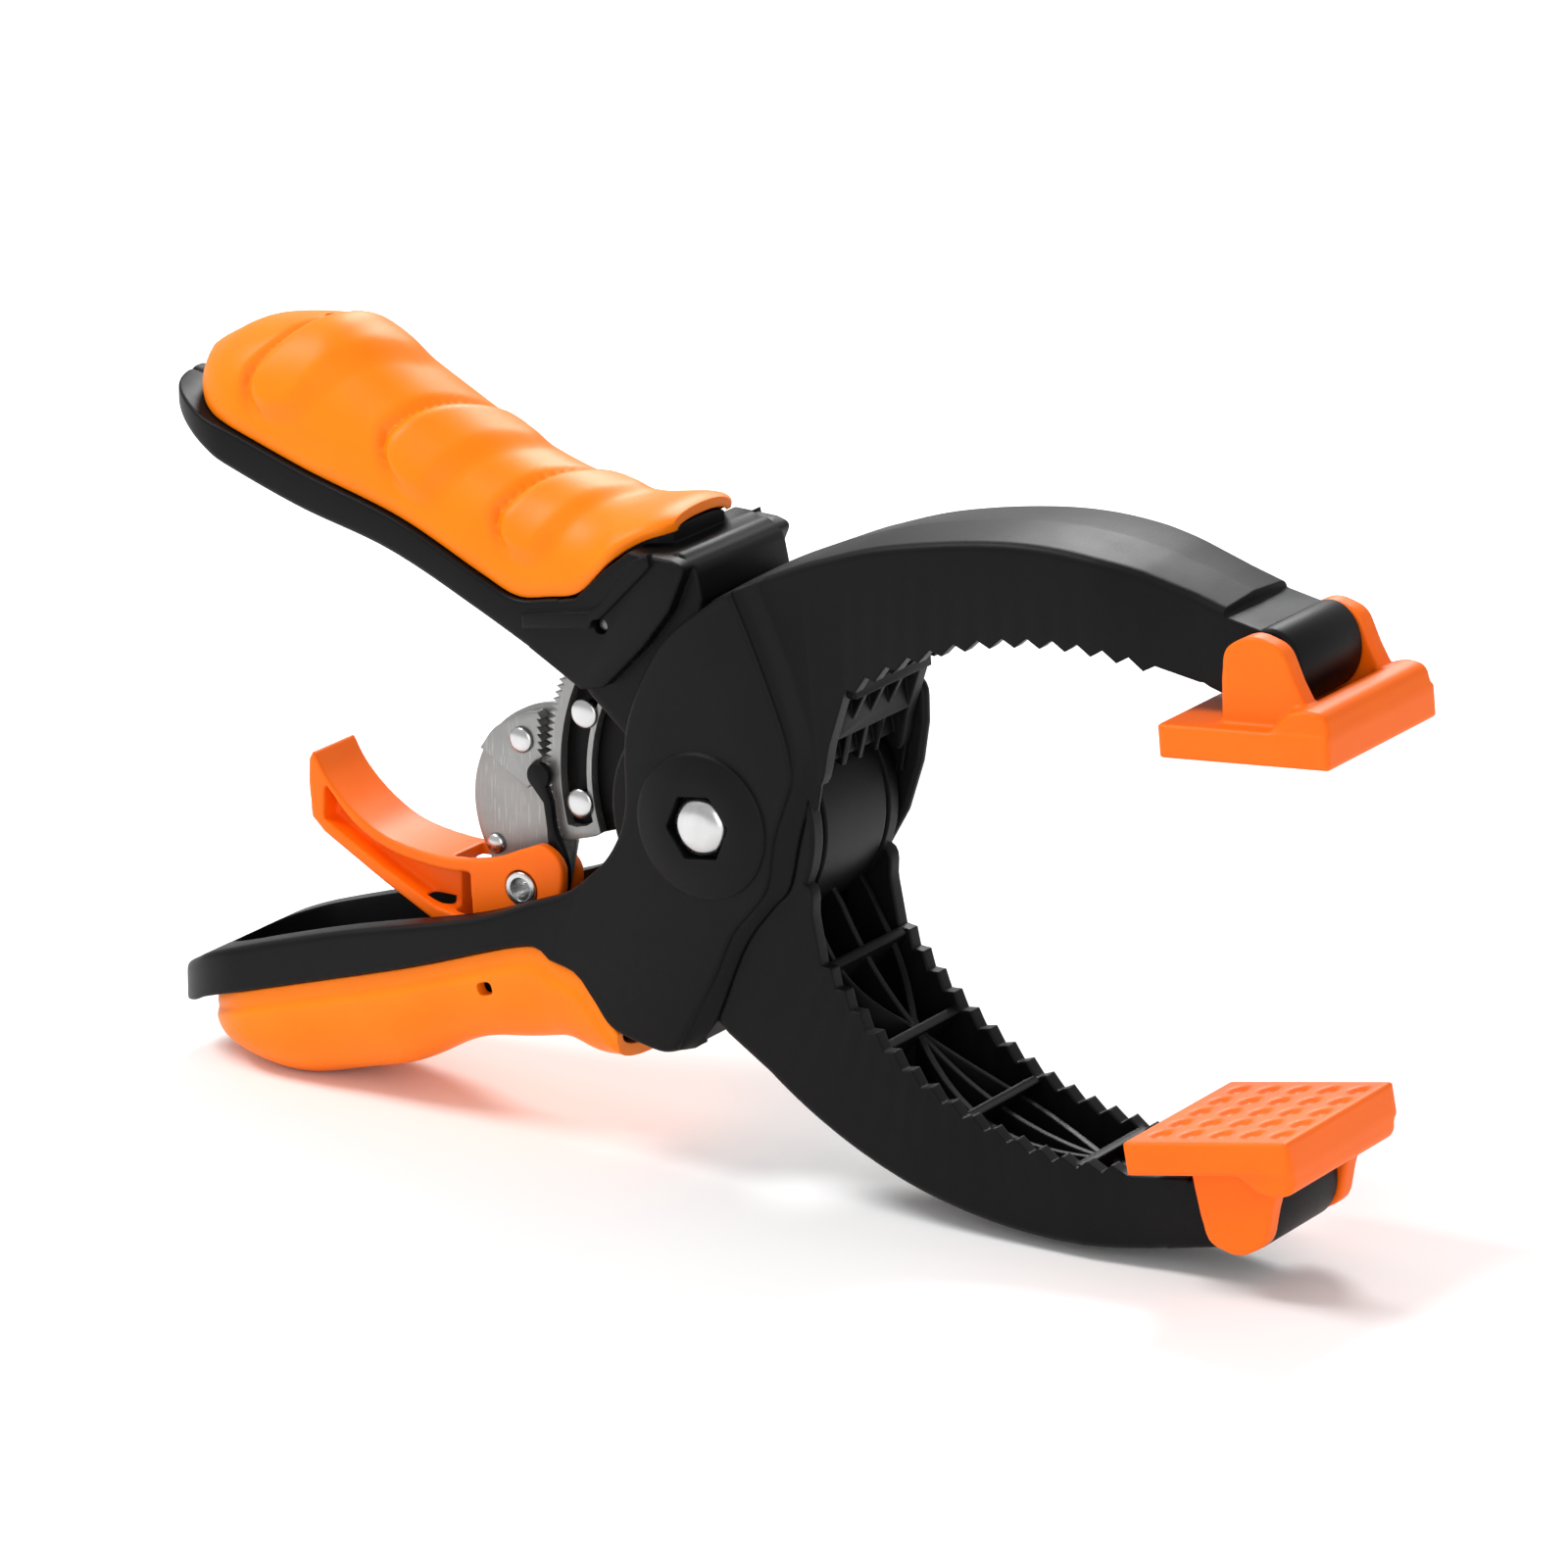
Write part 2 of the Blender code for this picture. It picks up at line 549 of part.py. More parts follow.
def make_inner_arm(axis):
    root = [
        jaw_ring((-10, -25.5), (5, -8)),
        jaw_ring((-4.5, -31.0), (18.4, -7.5)),
        jaw_ring((2.6, -37.4), (20.0, -13.5)),
    ]
    teeth = toothed_rings(lower_spine, (11, 84), (73.2, 16.6), 62.5, (215.5, 274.5), 15)
    end = [jaw_ring((89.5, lower_spine(89.5)), (90.0, -45.6))]
    arm = loft("inner_arm", root + teeth + end, "black_nylon", axis)
    x, z = LOWER_PIN
    neck = [(86, -47.5), (86, lower_spine(86) + 0.6), (93, lower_spine(93) + 0.5),
            (x, z - TONGUE_HALF[1] + 0.2), (x + 3, z), (x, z + 5), (90, -45.8)]
    tongue = plate("inner_neck", neck, -JAW_TIP_HALF, JAW_TIP_HALF, None, axis)
    nose = plate("inner_tongue", oval(*TONGUE_HALF, (x, z)), -JAW_TIP_HALF, JAW_TIP_HALF, None, axis)
    hub = rod("inner_hub", 0, 0, -INNER_HALF, INNER_HALF, HUB_R, None, axis, 48)
    join(arm, hub, tongue, nose)
    places = [((10, -43), (22.5, -21.5)), ((22, -50), (33, -33.5)), ((41, -57), (49, -42.5)),
              ((68, -62), (70, -47))]
    join(arm, *cross_ribs("inner", places, axis))

    between = [(-1.2, 15), (-1.6, 37.8), (-2.8, 43.0), (-6.2, 45.2), (-20, 42.2), (-26, 39.0),
               (-34, 36.6), (-34, 26.5), (-28.6, 22.6), (-24, 17.5), (-15, 10)]
    block = plate("inner_root", between, -INNER_HALF, INNER_HALF, None, axis)
    flank_line = [(-3.2, 43.8), (-6.6, 35.6), (-11.6, 28.9), (-19.4, 20.6), (-24.0, 19.4),
                  (-34.5, 25.0), (-34.5, 32.8), (-31.5, 33.5), (-25.2, 35.0), (-19.4, 40.8),
                  (-14.4, 44.8), (-6.2, 44.6)]
    flank = plate("inner_flank", flank_line, -CHEEK_OUT, CHEEK_OUT, None, axis)
    core = loft("inner_core", core_rings((-32.7, -28.3, -22.4, -17, -11), 36.7), None, axis)
    hollow_line = [(-8, 23), (-6.5, 34), (-9, 41.0), (-22, 40.5), (-36, 43.5), (-44, 46),
                   (-44, 26), (-30, 18), (-22, 12)]
    hollow = plate("root_hollow", hollow_line, -HOLLOW_HALF, HOLLOW_HALF, None, axis)
    join(arm, block, flank, core)
    cut(arm, hollow)
    stations = [-113.6, -112.6, *UPPER_STATIONS[:-4], -28.6]
    handle = handle_rings(stations, UPPER_RIM, UPPER_BAND, UPPER_CROWN, (-97, 17), (-94, 15.1), 2.3)
    join(arm, loft("inner_handle", handle, None, axis))
    web = [polar(12, 200)] + arc(WEB_R, 200, 134, 13) + [(-20, 43), (-8, 42), (-4, 20)]
    join(arm, plate("inner_web", web, *WEB_PLANE, None, axis))

    low = -INNER_HALF - 1
    ring = rod("spring_ring", 0, 0, low, SPRING_SEAT, SPRING_R + 1.7, None, axis, 40)
    post = rod("spring_post", 0, 0, low - 1, SPRING_SEAT + 1, SPRING_R - 1.7, None, axis, 32)
    cut(ring, post)
    bores = [
        ring,
        rod("sleeve_bore", 0, 0, -20, 20, SLEEVE_R + GAP, None, axis, 32),
        rod("leg_hole", *SPRING_LEG_IN, SPRING_SEAT - 1, SPRING_SEAT + 3.6, SPRING_WIRE / 2 + GAP,
            None, axis, 12),
        rod("lower_pin_bore", x, z, -12, 12, PAD_PIN_R + GAP, None, axis, 16),
        rod("root_pin_bore", *ROOT_PIN, -20, 20, ROOT_PIN_R + GAP, None, axis, 12),
    ]
    for n, angle in enumerate(RIVET_ANGLES):
        place = polar(RIVET_R, angle)
        bores.append(rod(f"rivet_bore_{n}", *place, -1, 5, RIVET_SHANK_R + GAP, None, axis, 12))
    cut(arm, *bores)
    return arm


# ---------------------------------------------------------------- pads

def to_pad(axis_point, tilt, facing, along, away):
    """A point of a pad: along its plate, and away from its pin towards its clamp face."""
    angle = math.radians(tilt)
    x = axis_point[0] + along * math.cos(angle) + facing * away * -math.sin(angle)
    z = axis_point[1] + along * math.sin(angle) + facing * away * math.cos(angle)
    return (x, z)


def make_pad(name, pin, tilt, facing, axis):
    """A clamp pad: a plate with two ears round the jaw's tongue; facing is the clamp face's side."""
    inner = PAD_DROP - PAD_THICK
    half = PAD_LENGTH / 2
    left, right = PAD_SHIFT - half, PAD_SHIFT + half
    rim = [(left, inner), (right, inner), (right, PAD_DROP), (left, PAD_DROP)]
    outline = [to_pad(pin, tilt, facing, a, d) for a, d in rim]
    pad = plate(name, outline, -PAD_HALF, PAD_HALF, "orange_plastic", axis)
    ear = [(-EAR_R, inner + 2), (-EAR_R, 0)]
    ear += [(EAR_R * -math.cos(math.radians(t)), EAR_R * -math.sin(math.radians(t)))
            for t in range(20, 161, 20)]
    ear += [(EAR_R, 0), (EAR_R + 1.6, 4.0), (EAR_R + 4.4, inner), (EAR_R + 4.4, inner + 2)]
    outline = [to_pad(pin, tilt, facing, a, d) for a, d in ear]
    throat = JAW_TIP_HALF + GAP
    join(
        pad,
        plate(f"{name}_near_ear", outline, -EAR_OUT, -throat, None, axis),
        plate(f"{name}_far_ear", outline, throat, EAR_OUT, None, axis),
    )
    cut(pad, rod(f"{name}_holes", *pin, -13, 13, PAD_PIN_R + GAP, None, axis, 16))
    return pad


# ---------------------------------------------------------------- ratchet

def make_rack(axis):
    span = RACK_TO - RACK_FROM
    outline = []
    for i in range(RACK_TEETH):
        start = RACK_FROM + span * i / RACK_TEETH
        outline.append(polar(RACK_ROOT_R, start))
        outline.append(polar(RACK_TIP_R, start + 0.75 * span / RACK_TEETH))
    outline.append(polar(RACK_ROOT_R, RACK_TO))
    outline += arc(RACK_INNER_R, RACK_TO, RACK_FROM, 14)
    rack = plate("ratchet_rack", outline, *RACK_PLANE, "stamped_steel", axis)
    near, far = RACK_WINDOW_R
    window = arc(far, RACK_FROM + 4, RACK_TO - 3.6, 14) + arc(near, RACK_TO - 4.6, RACK_FROM + 4, 12)
    cut(rack, plate("rack_window", window, -4, 4, None, axis))
    return rack


def make_rivet(name, place, head, shank, y_low, y_high, head_thick, axis):
    """A rivet along Y: a domed head at its low end and a set tail at its high end."""
    profile = [(0, y_low - head_thick), (head * 0.6, y_low - head_thick),
               (head, y_low - head_thick * 0.4), (head, y_low), (shank, y_low),
               (shank, y_high), (head * 0.8, y_high), (head * 0.8, y_high + 0.5),
               (0, y_high + 0.5)]
    return turned(name, *place, profile, "bright_steel", axis, 16)


def make_plate(axis):
    round_part = arc(PLATE_R, 97, 214, 16, PLATE_CENTRE)
    foot = [(-54.0, -25), (-51, -42.0), (-40, -40.0), (-39, -24)]
    outline = round_part + foot + arc(PLATE_CLEAR_R, 201, 165, 8)
    body = plate("ratchet_plate", outline, *PLATE_PLANE, "stamped_steel", axis)
    cut(
        body,
        rod("plate_lever_bore", *LEVER_PIN, 0, 3, LEVER_PIN_R + GAP, None, axis, 20),
        rod("plate_pawl_bore", *PAWL_PIN, 0, 3, 1.5 + GAP, None, axis, 12),
        rod("plate_rivet_bore", *PLATE_RIVET, 0, 3, 1.2 + GAP, None, axis, 12),
    )
    return body


def pawl_outline():
    """A sector of steel with teeth towards the rack and a round notch for the finger."""
    back = curve([(-54.4, 0.4), (-51.4, 4.4), (-46.6, 7.4), (-43.0, 8.6)], 3)
    edge = []
    for i in range(PAWL_TEETH):
        start = 168.4 + 10.6 * i / PAWL_TEETH
        lift = max(0.0, 0.16 * (polar(1, start)[1] * PAWL_EDGE_R - PAWL_PIN[1]))
        edge.append(polar(PAWL_EDGE_R + lift + 1.1, start))
        edge.append(polar(PAWL_EDGE_R + lift, start + 0.75 * 10.6 / PAWL_TEETH))
    notch = arc(3.2, 108, 212, 6, (-41.2, -2.6))
    return back + edge + notch + [(-44.8, -5.2)]


def make_pawl(axis):
    body = plate("pawl", pawl_outline(), *PAWL_PLANE, "stamped_steel", axis)
    cut(body, rod("pawl_bore", *PAWL_PIN, -4, 2, 1.5 + GAP, None, axis, 12))
    return body


# ---------------------------------------------------------------- release lever

def make_lever(axis):
    top = curve([(-86.6, -4.8), (-83.6, -9.4), (-78.2, -14.2), (-71, -17.7), (-60, -19.0),
                 (-50.5, -17.8), (-43.5, -14.9)], 4)
    hub = curve([(-43.5, -14.9), (-39.0, -13.4), (-35.2, -16.4), (-35.6, -22.5), (-40, -28.6)], 4)
    under = [(-52, -33.4), (-61.5, -30.9), (-72, -25.7), (-84.4, -19.0), (-87.0, -16.6),
             (-87.6, -10.0)]
    lever = plate("release_lever", top + hub[1:] + under, -LEVER_HALF, LEVER_HALF,
                  "orange_plastic", axis)
    pocket_top = curve([(-84.6, -9.4), (-77.6, -16.4), (-70, -19.8), (-60, -21.0), (-54, -20.6)], 3)
    pocket = pocket_top + [(-54, -30.0), (-61.2, -28.4), (-72, -23.4), (-84.8, -16.6)]
    for sign, word in ((-1, "front"), (1, "back")):
        low, high = sorted((sign * 2.2, sign * 9))
        cut(lever, plate(f"lever_pocket_{word}", pocket, low, high, None, axis))
    fork = [(-56.5, -10), (-30, -10), (-30, -40), (-56.5, -40)]
    cut(
        lever,
        plate("lever_fork", fork, -FORK_IN, FORK_IN, None, axis),
        plate("lever_plate_slot", [(-60.5, -12), (-55.5, -12), (-55.5, -40), (-60.5, -40)],
              PLATE_PLANE[0] - 0.5, PLATE_PLANE[1] + 0.5, None, axis),
        rod("lever_bore", *LEVER_PIN, -9, 9, LEVER_PIN_R + GAP, None, axis, 20),
        plate("far_ear", arc(4.6, 100, -60, 8, LEVER_PIN) + [(-34, -32), (-30, -32), (-30, -10)],
              0, 9, None, axis),
    )
    return lever


def make_finger(axis):
    """The black spring finger that pulls the pawl off the rack."""
    head = arc(2.3, 235, -45, 12, (-41.4, -2.0))
    arm = [(-37.9, -11.4), (-35.6, -16.4), (-36.4, -24.0), (-42, -27.6), (-48.0, -25.0),
           (-48.6, -20), (-44.6, -16.2), (-40.0, -14.6), (-39.6, -11.8)]
    body = plate("release_finger", head + arm, *FINGER_PLANE, "black_nylon", axis)
    cut(body, rod("finger_bore", *LEVER_PIN, -9, 0, LEVER_PIN_R + GAP, None, axis, 20))
    return body


# ---------------------------------------------------------------- the clamp

def make_springs(outer):
    steps = 12
    points = [(SPRING_LEG_OUT[0], -15.0, SPRING_LEG_OUT[1])]
    for i in range(SPRING_TURNS * steps + 1):
        x, z = polar(SPRING_R, 360 * i / steps)
        share = i / (SPRING_TURNS * steps)
        points.append((x, SPRING_Y[0] + (SPRING_Y[1] - SPRING_Y[0]) * share, z))
    points.append((SPRING_LEG_IN[0], SPRING_SEAT + 3.2, SPRING_LEG_IN[1]))
    wire_coil("opening_spring", points, SPRING_WIRE, outer)

    low, high, turns = -47.2, -34.8, 5
    points = []
    for i in range(turns * 10 + 1):
        x, y = polar(2.6, 36 * i)
        points.append((-62.0 + x, y, low + (high - low) * i / (turns * 10)))
    wire_coil("lever_spring", points, 0.9, outer)


def make_pivot(outer):
    head = [(0, -BOLT_FACE), (BOLT_HEAD_R * 0.55, -BOLT_FACE), (BOLT_HEAD_R, -BOLT_FACE + 1.2),
            (BOLT_HEAD_R, -15.7), (BOLT_R, -15.7), (BOLT_R, 15.1), (THREAD_R, 15.1),
            (THREAD_R, 17.4), (0, 17.4)]
    turned("pivot_bolt", 0, 0, head, "bright_steel", outer, 32)
    nut = rod("pivot_nut", 0, 0, 15.7, BOLT_FACE, BOLT_HEAD_R, "bright_steel", outer, 6)
    cut(nut, rod("nut_thread", 0, 0, 10, 20, THREAD_R + GAP, None, outer, 24))
    sleeve = rod("pivot_sleeve", 0, 0, -13.5, 13.5, SLEEVE_R, "bright_steel", outer, 32)
    cut(sleeve, rod("sleeve_hole", 0, 0, -20, 20, BOLT_R + GAP, None, outer, 32))


def make_clamp():
    outer = make_axis("outer_frame", 0, 0)
    inner = make_axis("jaw_hinge_axis", 0, 0)
    lever_axis = make_axis("lever_hinge_axis", *LEVER_PIN, outer)
    pawl_axis = make_axis("pawl_hinge_axis", *PAWL_PIN, outer)
    upper_axis = make_axis("upper_pad_axis", *UPPER_PIN, outer)
    lower_axis = make_axis("lower_pad_axis", *LOWER_PIN, inner)

    make_outer_arm(outer)
    make_inner_arm(inner)
    rings = grip_rings(LOWER_STATIONS, LOWER_BAND, LOWER_BELLY, (-94, 14.5), 3.0)
    lower_grip = loft("lower_grip", rings, "orange_grip", outer)
    rings = grip_rings(UPPER_STATIONS, UPPER_BAND, UPPER_CROWN, (-94, 15.1), 2.3)
    upper_grip = loft("upper_grip", rings, "orange_grip", inner)
    cut(lower_grip, rod("lower_grip_hole", -44.3, -36.7, -20, -12, 1.5, None, outer, 12))
    hole = bmesh.new()
    place = Matrix.Translation(Vector((-84, 0, 72)) * MM)
    bmesh.ops.create_cone(hole, cap_ends=True, segments=12, radius1=1.6 * MM, radius2=1.6 * MM,
                          depth=8 * MM, matrix=place)
    cut(upper_grip, finish_object("upper_grip_hole", hole, None, inner))

    make_pivot(outer)
    make_springs(outer)
    make_rack(inner)
    for word, angle in zip(("upper", "lower"), RIVET_ANGLES):
        make_rivet(f"rack_rivet_{word}", polar(RIVET_R, angle), 2.6, RIVET_SHANK_R,
                   RACK_PLANE[0] - 0.3, WEB_PLANE[1] + 0.1, 0.7, inner)
    rod("root_pin", *ROOT_PIN, -15.2, 15.2, ROOT_PIN_R, "spring_steel", inner, 12)
    make_plate(outer)
    make_rivet("plate_rivet", PLATE_RIVET, 1.8, 1.2, PLATE_PLANE[0] - 0.3,
               PLATE_PLANE[1] + 0.3, 0.8, outer)
    make_pawl(pawl_axis)
    make_rivet("pawl_pin", PAWL_PIN, 2.3, 1.5, PAWL_PLANE[0] - 0.3, PLATE_PLANE[1] + 0.3, 0.8, outer)
    make_lever(lever_axis)
    make_finger(lever_axis)
    tube = rod("lever_pin", *LEVER_PIN, -6.6, 6.6, LEVER_PIN_R, "bright_steel", outer, 20)
    cut(tube, rod("lever_pin_hole", *LEVER_PIN, -9, 9, LEVER_PIN_R - 1.0, None, outer, 20))
    make_pad("upper_pad", UPPER_PIN, UPPER_PAD_TILT, -1, upper_axis)
    make_pad("lower_pad", LOWER_PIN, LOWER_PAD_TILT, 1, lower_axis)
    rod("upper_pad_pin", *UPPER_PIN, -12.6, 12.6, PAD_PIN_R, "bright_steel", outer, 16)
    rod("lower_pad_pin", *LOWER_PIN, -12.6, 12.6, PAD_PIN_R, "bright_steel", inner, 16)


make_clamp()
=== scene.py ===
"""Looks of the ratcheting hand clamp: moulded arms, grips and pads, a lever and a steel ratchet."""

import math

import bmesh
import bpy
import numpy as np
from mathutils import Matrix, Vector


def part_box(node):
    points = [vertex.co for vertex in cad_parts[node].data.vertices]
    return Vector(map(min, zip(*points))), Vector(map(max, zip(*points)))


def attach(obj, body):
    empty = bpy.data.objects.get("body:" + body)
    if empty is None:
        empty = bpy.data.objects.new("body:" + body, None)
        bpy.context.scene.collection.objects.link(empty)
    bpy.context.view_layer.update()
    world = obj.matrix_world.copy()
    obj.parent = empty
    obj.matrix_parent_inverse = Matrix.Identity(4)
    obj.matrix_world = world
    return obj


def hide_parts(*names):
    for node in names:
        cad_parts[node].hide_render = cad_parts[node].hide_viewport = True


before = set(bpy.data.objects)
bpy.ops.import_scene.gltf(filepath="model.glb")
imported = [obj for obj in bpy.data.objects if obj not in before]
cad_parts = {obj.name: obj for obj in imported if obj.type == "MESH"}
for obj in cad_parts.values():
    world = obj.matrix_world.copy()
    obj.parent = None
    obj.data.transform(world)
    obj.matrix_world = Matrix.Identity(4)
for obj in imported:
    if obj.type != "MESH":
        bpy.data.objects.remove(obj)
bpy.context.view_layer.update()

MM = 0.001
bolt_low, bolt_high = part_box("pivot_bolt")
PIVOT = Vector(((bolt_low.x + bolt_high.x) / 2, 0.0, (bolt_low.z + bolt_high.z) / 2))


def middle(node):
    """The middle of a node's box, as (x, z) in millimetres from the pivot."""
    low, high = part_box(node)
    return ((low.x + high.x) / 2 - PIVOT.x) / MM, ((low.z + high.z) / 2 - PIVOT.z) / MM


# Every outline is in millimetres, as (x, z) measured from the pivot, with y from the middle plane.
CHEEK_OUT = 16.3
CHEEK_IN = 13.8
INNER_HALF = 13.5
RIM_HALF = 16.6
GRIP_HALF = 16.2
GRIP_WALL = 2.2
HANDLE_WALL = 2.2
GAP = 0.3
SPINE = 3.0
JAW_WALL = 2.8
TOOTH_DEPTH = 1.6
HUB_R = 20.0
LEVER_PIN = middle("lever_pin")
PAWL_PIN = middle("pawl_pin")
UPPER_PIN = middle("upper_pad_pin")
LOWER_PIN = middle("lower_pad_pin")
ROOT_PIN = middle("root_pin")


# ---------------------------------------------------------------- finishes

class Field:
    """A value that varies over a surface; arithmetic on it adds Math nodes."""

    def __init__(self, finish, socket):
        self.finish = finish
        self.socket = socket

    def math(self, operation, a, b):
        return self.finish.node("ShaderNodeMath", {"operation": operation}, {0: a, 1: b})

    def __add__(self, other):
        return self.math("ADD", self, other)

    def __radd__(self, other):
        return self.math("ADD", other, self)

    def __sub__(self, other):
        return self.math("SUBTRACT", self, other)

    def __rmul__(self, other):
        return self.math("MULTIPLY", other, self)


class Finish:
    """One material and the nodes that make it."""

    def __init__(self, name):
        self.material = bpy.data.materials.new(name)
        self.material.use_nodes = True
        self.tree = self.material.node_tree
        self.shader = self.tree.nodes["Principled BSDF"]
        self.place = self.node("ShaderNodeTexCoord", output="Object")

    def node(self, kind, settings=None, inputs=None, output=0):
        made = self.tree.nodes.new(kind)
        for key, value in (settings or {}).items():
            if key == "stops":
                ramp = made.color_ramp
                ramp.elements[0].position, ramp.elements[0].color = value[0]
                ramp.elements[1].position, ramp.elements[1].color = value[-1]
                for position, colour in value[1:-1]:
                    ramp.elements.new(position).color = colour
            else:
                setattr(made, key, value)
        for key, value in (inputs or {}).items():
            if isinstance(value, Field):
                self.tree.links.new(value.socket, made.inputs[key])
            else:
                made.inputs[key].default_value = value
        return Field(self, made.outputs[output])

    def noise(self, size, detail=3.0, stretch=(1.0, 1.0, 1.0)):
        """Noise whose features are about size millimetres across."""
        place = self.node("ShaderNodeMapping", None, {"Vector": self.place, "Scale": stretch})
        return self.node("ShaderNodeTexNoise", None,
                         {"Vector": place, "Scale": 1 / (size * MM), "Detail": detail})

    def blend(self, share, a, b):
        return self.node("ShaderNodeMix", {"data_type": "RGBA"}, {0: share, 6: a, 7: b}, 2)

    def clamp(self, value, low, high):
        return self.node("ShaderNodeMapRange", None,
                         {"Value": value, "From Min": low, "From Max": high})

    def bump(self, height, strength, depth, round_edges):
        soft = self.node("ShaderNodeBevel", {"samples": 4}, {"Radius": round_edges * MM})
        return self.node("ShaderNodeBump", None, {
            "Height": height, "Strength": strength, "Distance": depth * MM, "Normal": soft})

    def feed(self, **values):
        for name, value in values.items():
            socket = self.shader.inputs[name.replace("_", " ")]
            if isinstance(value, Field):
                self.tree.links.new(value.socket, socket)
            else:
                socket.default_value = value


def rgb(red, green, blue):
    """A colour from its 0 to 255 display values."""
    return (*[(v / 255 / 12.92 if v < 11 else ((v / 255 + 0.055) / 1.055) ** 2.4)
              for v in (red, green, blue)], 1.0)


def moulded_nylon():
    """Black glass-filled nylon: fine spark texture, cloudier and shinier where hands rub it."""
    finish = Finish("black_nylon")
    grain = finish.noise(0.35, 2.0)
    cloud = finish.noise(9.0, 4.0)
    rubbed = finish.clamp(finish.noise(26.0, 3.0), 0.45, 0.7)
    tone = finish.blend(cloud, rgb(5, 5, 6), rgb(12, 12, 13))
    finish.feed(
        Base_Color=tone,
        Roughness=0.36 + 0.12 * grain + 0.1 * cloud - 0.06 * rubbed,
        Normal=finish.bump(grain + 0.4 * cloud, 0.12, 0.12, 0.55),
    )
    finish.shader.inputs["Specular IOR Level"].default_value = 0.14
    return finish.material


def moulded_orange(name, colour, deep, grain_depth):
    """Orange plastic: slightly uneven pigment, fine texture, a soft gloss."""
    finish = Finish(name)
    grain = finish.noise(0.4, 2.0)
    cloud = finish.noise(11.0, 3.0)
    flow = finish.clamp(finish.noise(5.0, 2.0, (0.5, 1.0, 1.6)), 0.35, 0.75)
    tone = finish.blend(cloud, deep, colour)
    tone = finish.blend(0.25 * flow, tone, colour)
    finish.feed(
        Base_Color=tone,
        Roughness=0.36 + 0.1 * grain + 0.08 * cloud,
        Normal=finish.bump(grain + 0.3 * cloud, 0.1, grain_depth, 0.5),
    )
    finish.shader.inputs["Specular IOR Level"].default_value = 0.22
    finish.shader.inputs["Subsurface Weight"].default_value = 0.06
    finish.shader.inputs["Subsurface Radius"].default_value = (0.004, 0.0015, 0.0005)
    finish.shader.inputs["Subsurface Scale"].default_value = 0.5
    return finish.material


def pressed_steel():
    """Stamped sheet steel: rolled grain, faint stains and a few scratches."""
    finish = Finish("stamped_steel")
    rolled = finish.noise(0.5, 3.0, (0.12, 1.0, 1.0))
    stain = finish.noise(6.0, 4.0)
    scratch = finish.clamp(finish.noise(0.25, 1.0, (1.0, 1.0, 0.05)), 0.62, 0.7)
    tone = finish.blend(stain, rgb(138, 138, 137), rgb(164, 164, 162))
    tone = finish.blend(0.3 * scratch, tone, rgb(208, 208, 206))
    finish.feed(
        Base_Color=tone,
        Metallic=0.85,
        Roughness=0.34 + 0.14 * rolled + 0.08 * stain,
        Normal=finish.bump(rolled + 0.5 * scratch, 0.12, 0.05, 0.22),
    )
    return finish.material


def plated_steel():
    """Bright zinc plate with faint wipe marks."""
    finish = Finish("bright_steel")
    wipe = finish.noise(0.6, 3.0, (1.0, 1.0, 0.25))
    haze = finish.noise(3.0, 3.0)
    tone = finish.blend(haze, rgb(186, 186, 186), rgb(214, 214, 214))
    finish.feed(
        Base_Color=tone,
        Metallic=1.0,
        Roughness=0.16 + 0.12 * haze + 0.06 * wipe,
        Normal=finish.bump(wipe, 0.06, 0.03, 0.25),
    )
    return finish.material


def drawn_wire():
    """Spring wire: dark, drawn along its length, slightly oiled."""
    finish = Finish("spring_steel")
    drawn = finish.noise(0.3, 2.0, (1.0, 0.2, 1.0))
    oil = finish.noise(4.0, 3.0)
    finish.feed(
        Base_Color=finish.blend(oil, rgb(92, 92, 95), rgb(128, 128, 130)),
        Metallic=0.95,
        Roughness=0.26 + 0.14 * drawn,
        Normal=finish.bump(drawn, 0.08, 0.03, 0.1),
    )
    return finish.material


FINISHES = {
    "black_nylon": moulded_nylon(),
    "orange_grip": moulded_orange("orange_grip", rgb(253, 130, 0), rgb(247, 118, 0), 0.12),
    "orange_plastic": moulded_orange("orange_plastic", rgb(254, 112, 4), rgb(248, 100, 0), 0.08),
    "stamped_steel": pressed_steel(),
    "bright_steel": plated_steel(),
    "spring_steel": drawn_wire(),
}


# ---------------------------------------------------------------- lines and outlines

def curve(points, samples=8):
    """A smooth run through points of a plane."""
    points = [np.array(p, float) for p in points]
    padded = [2 * points[0] - points[1], *points, 2 * points[-1] - points[-2]]
    out = []
    for i in range(1, len(padded) - 2):
        a, b, c, d = padded[i - 1:i + 3]
        for k in range(samples):
            t = k / samples
            out.append(0.5 * (2 * b + (c - a) * t + (2 * a - 5 * b + 4 * c - d) * t ** 2
                              + (3 * b - a - 3 * c + d) * t ** 3))
    out.append(points[-1])
    return out


def height(points):
    """z as a smooth function of x."""
    run = np.array(curve(points, 12))
    return lambda x: float(np.interp(x, run[:, 0], run[:, 1]))


def polar(radius, degrees, centre=(0.0, 0.0)):
    angle = math.radians(degrees)
    return (centre[0] + radius * math.cos(angle), centre[1] + radius * math.sin(angle))


def arc(radius, start, end, steps, centre=(0.0, 0.0)):
    return [polar(radius, start + (end - start) * i / steps, centre) for i in range(steps + 1)]


def even(run, count):
    """A run of points respaced to count points of equal steps."""
    run = np.array(run, float)
    steps = np.r_[0, np.cumsum(np.linalg.norm(np.diff(run, axis=0), axis=1))]
    at = np.linspace(0, steps[-1], count)
    return np.column_stack([np.interp(at, steps, run[:, k]) for k in range(run.shape[1])])


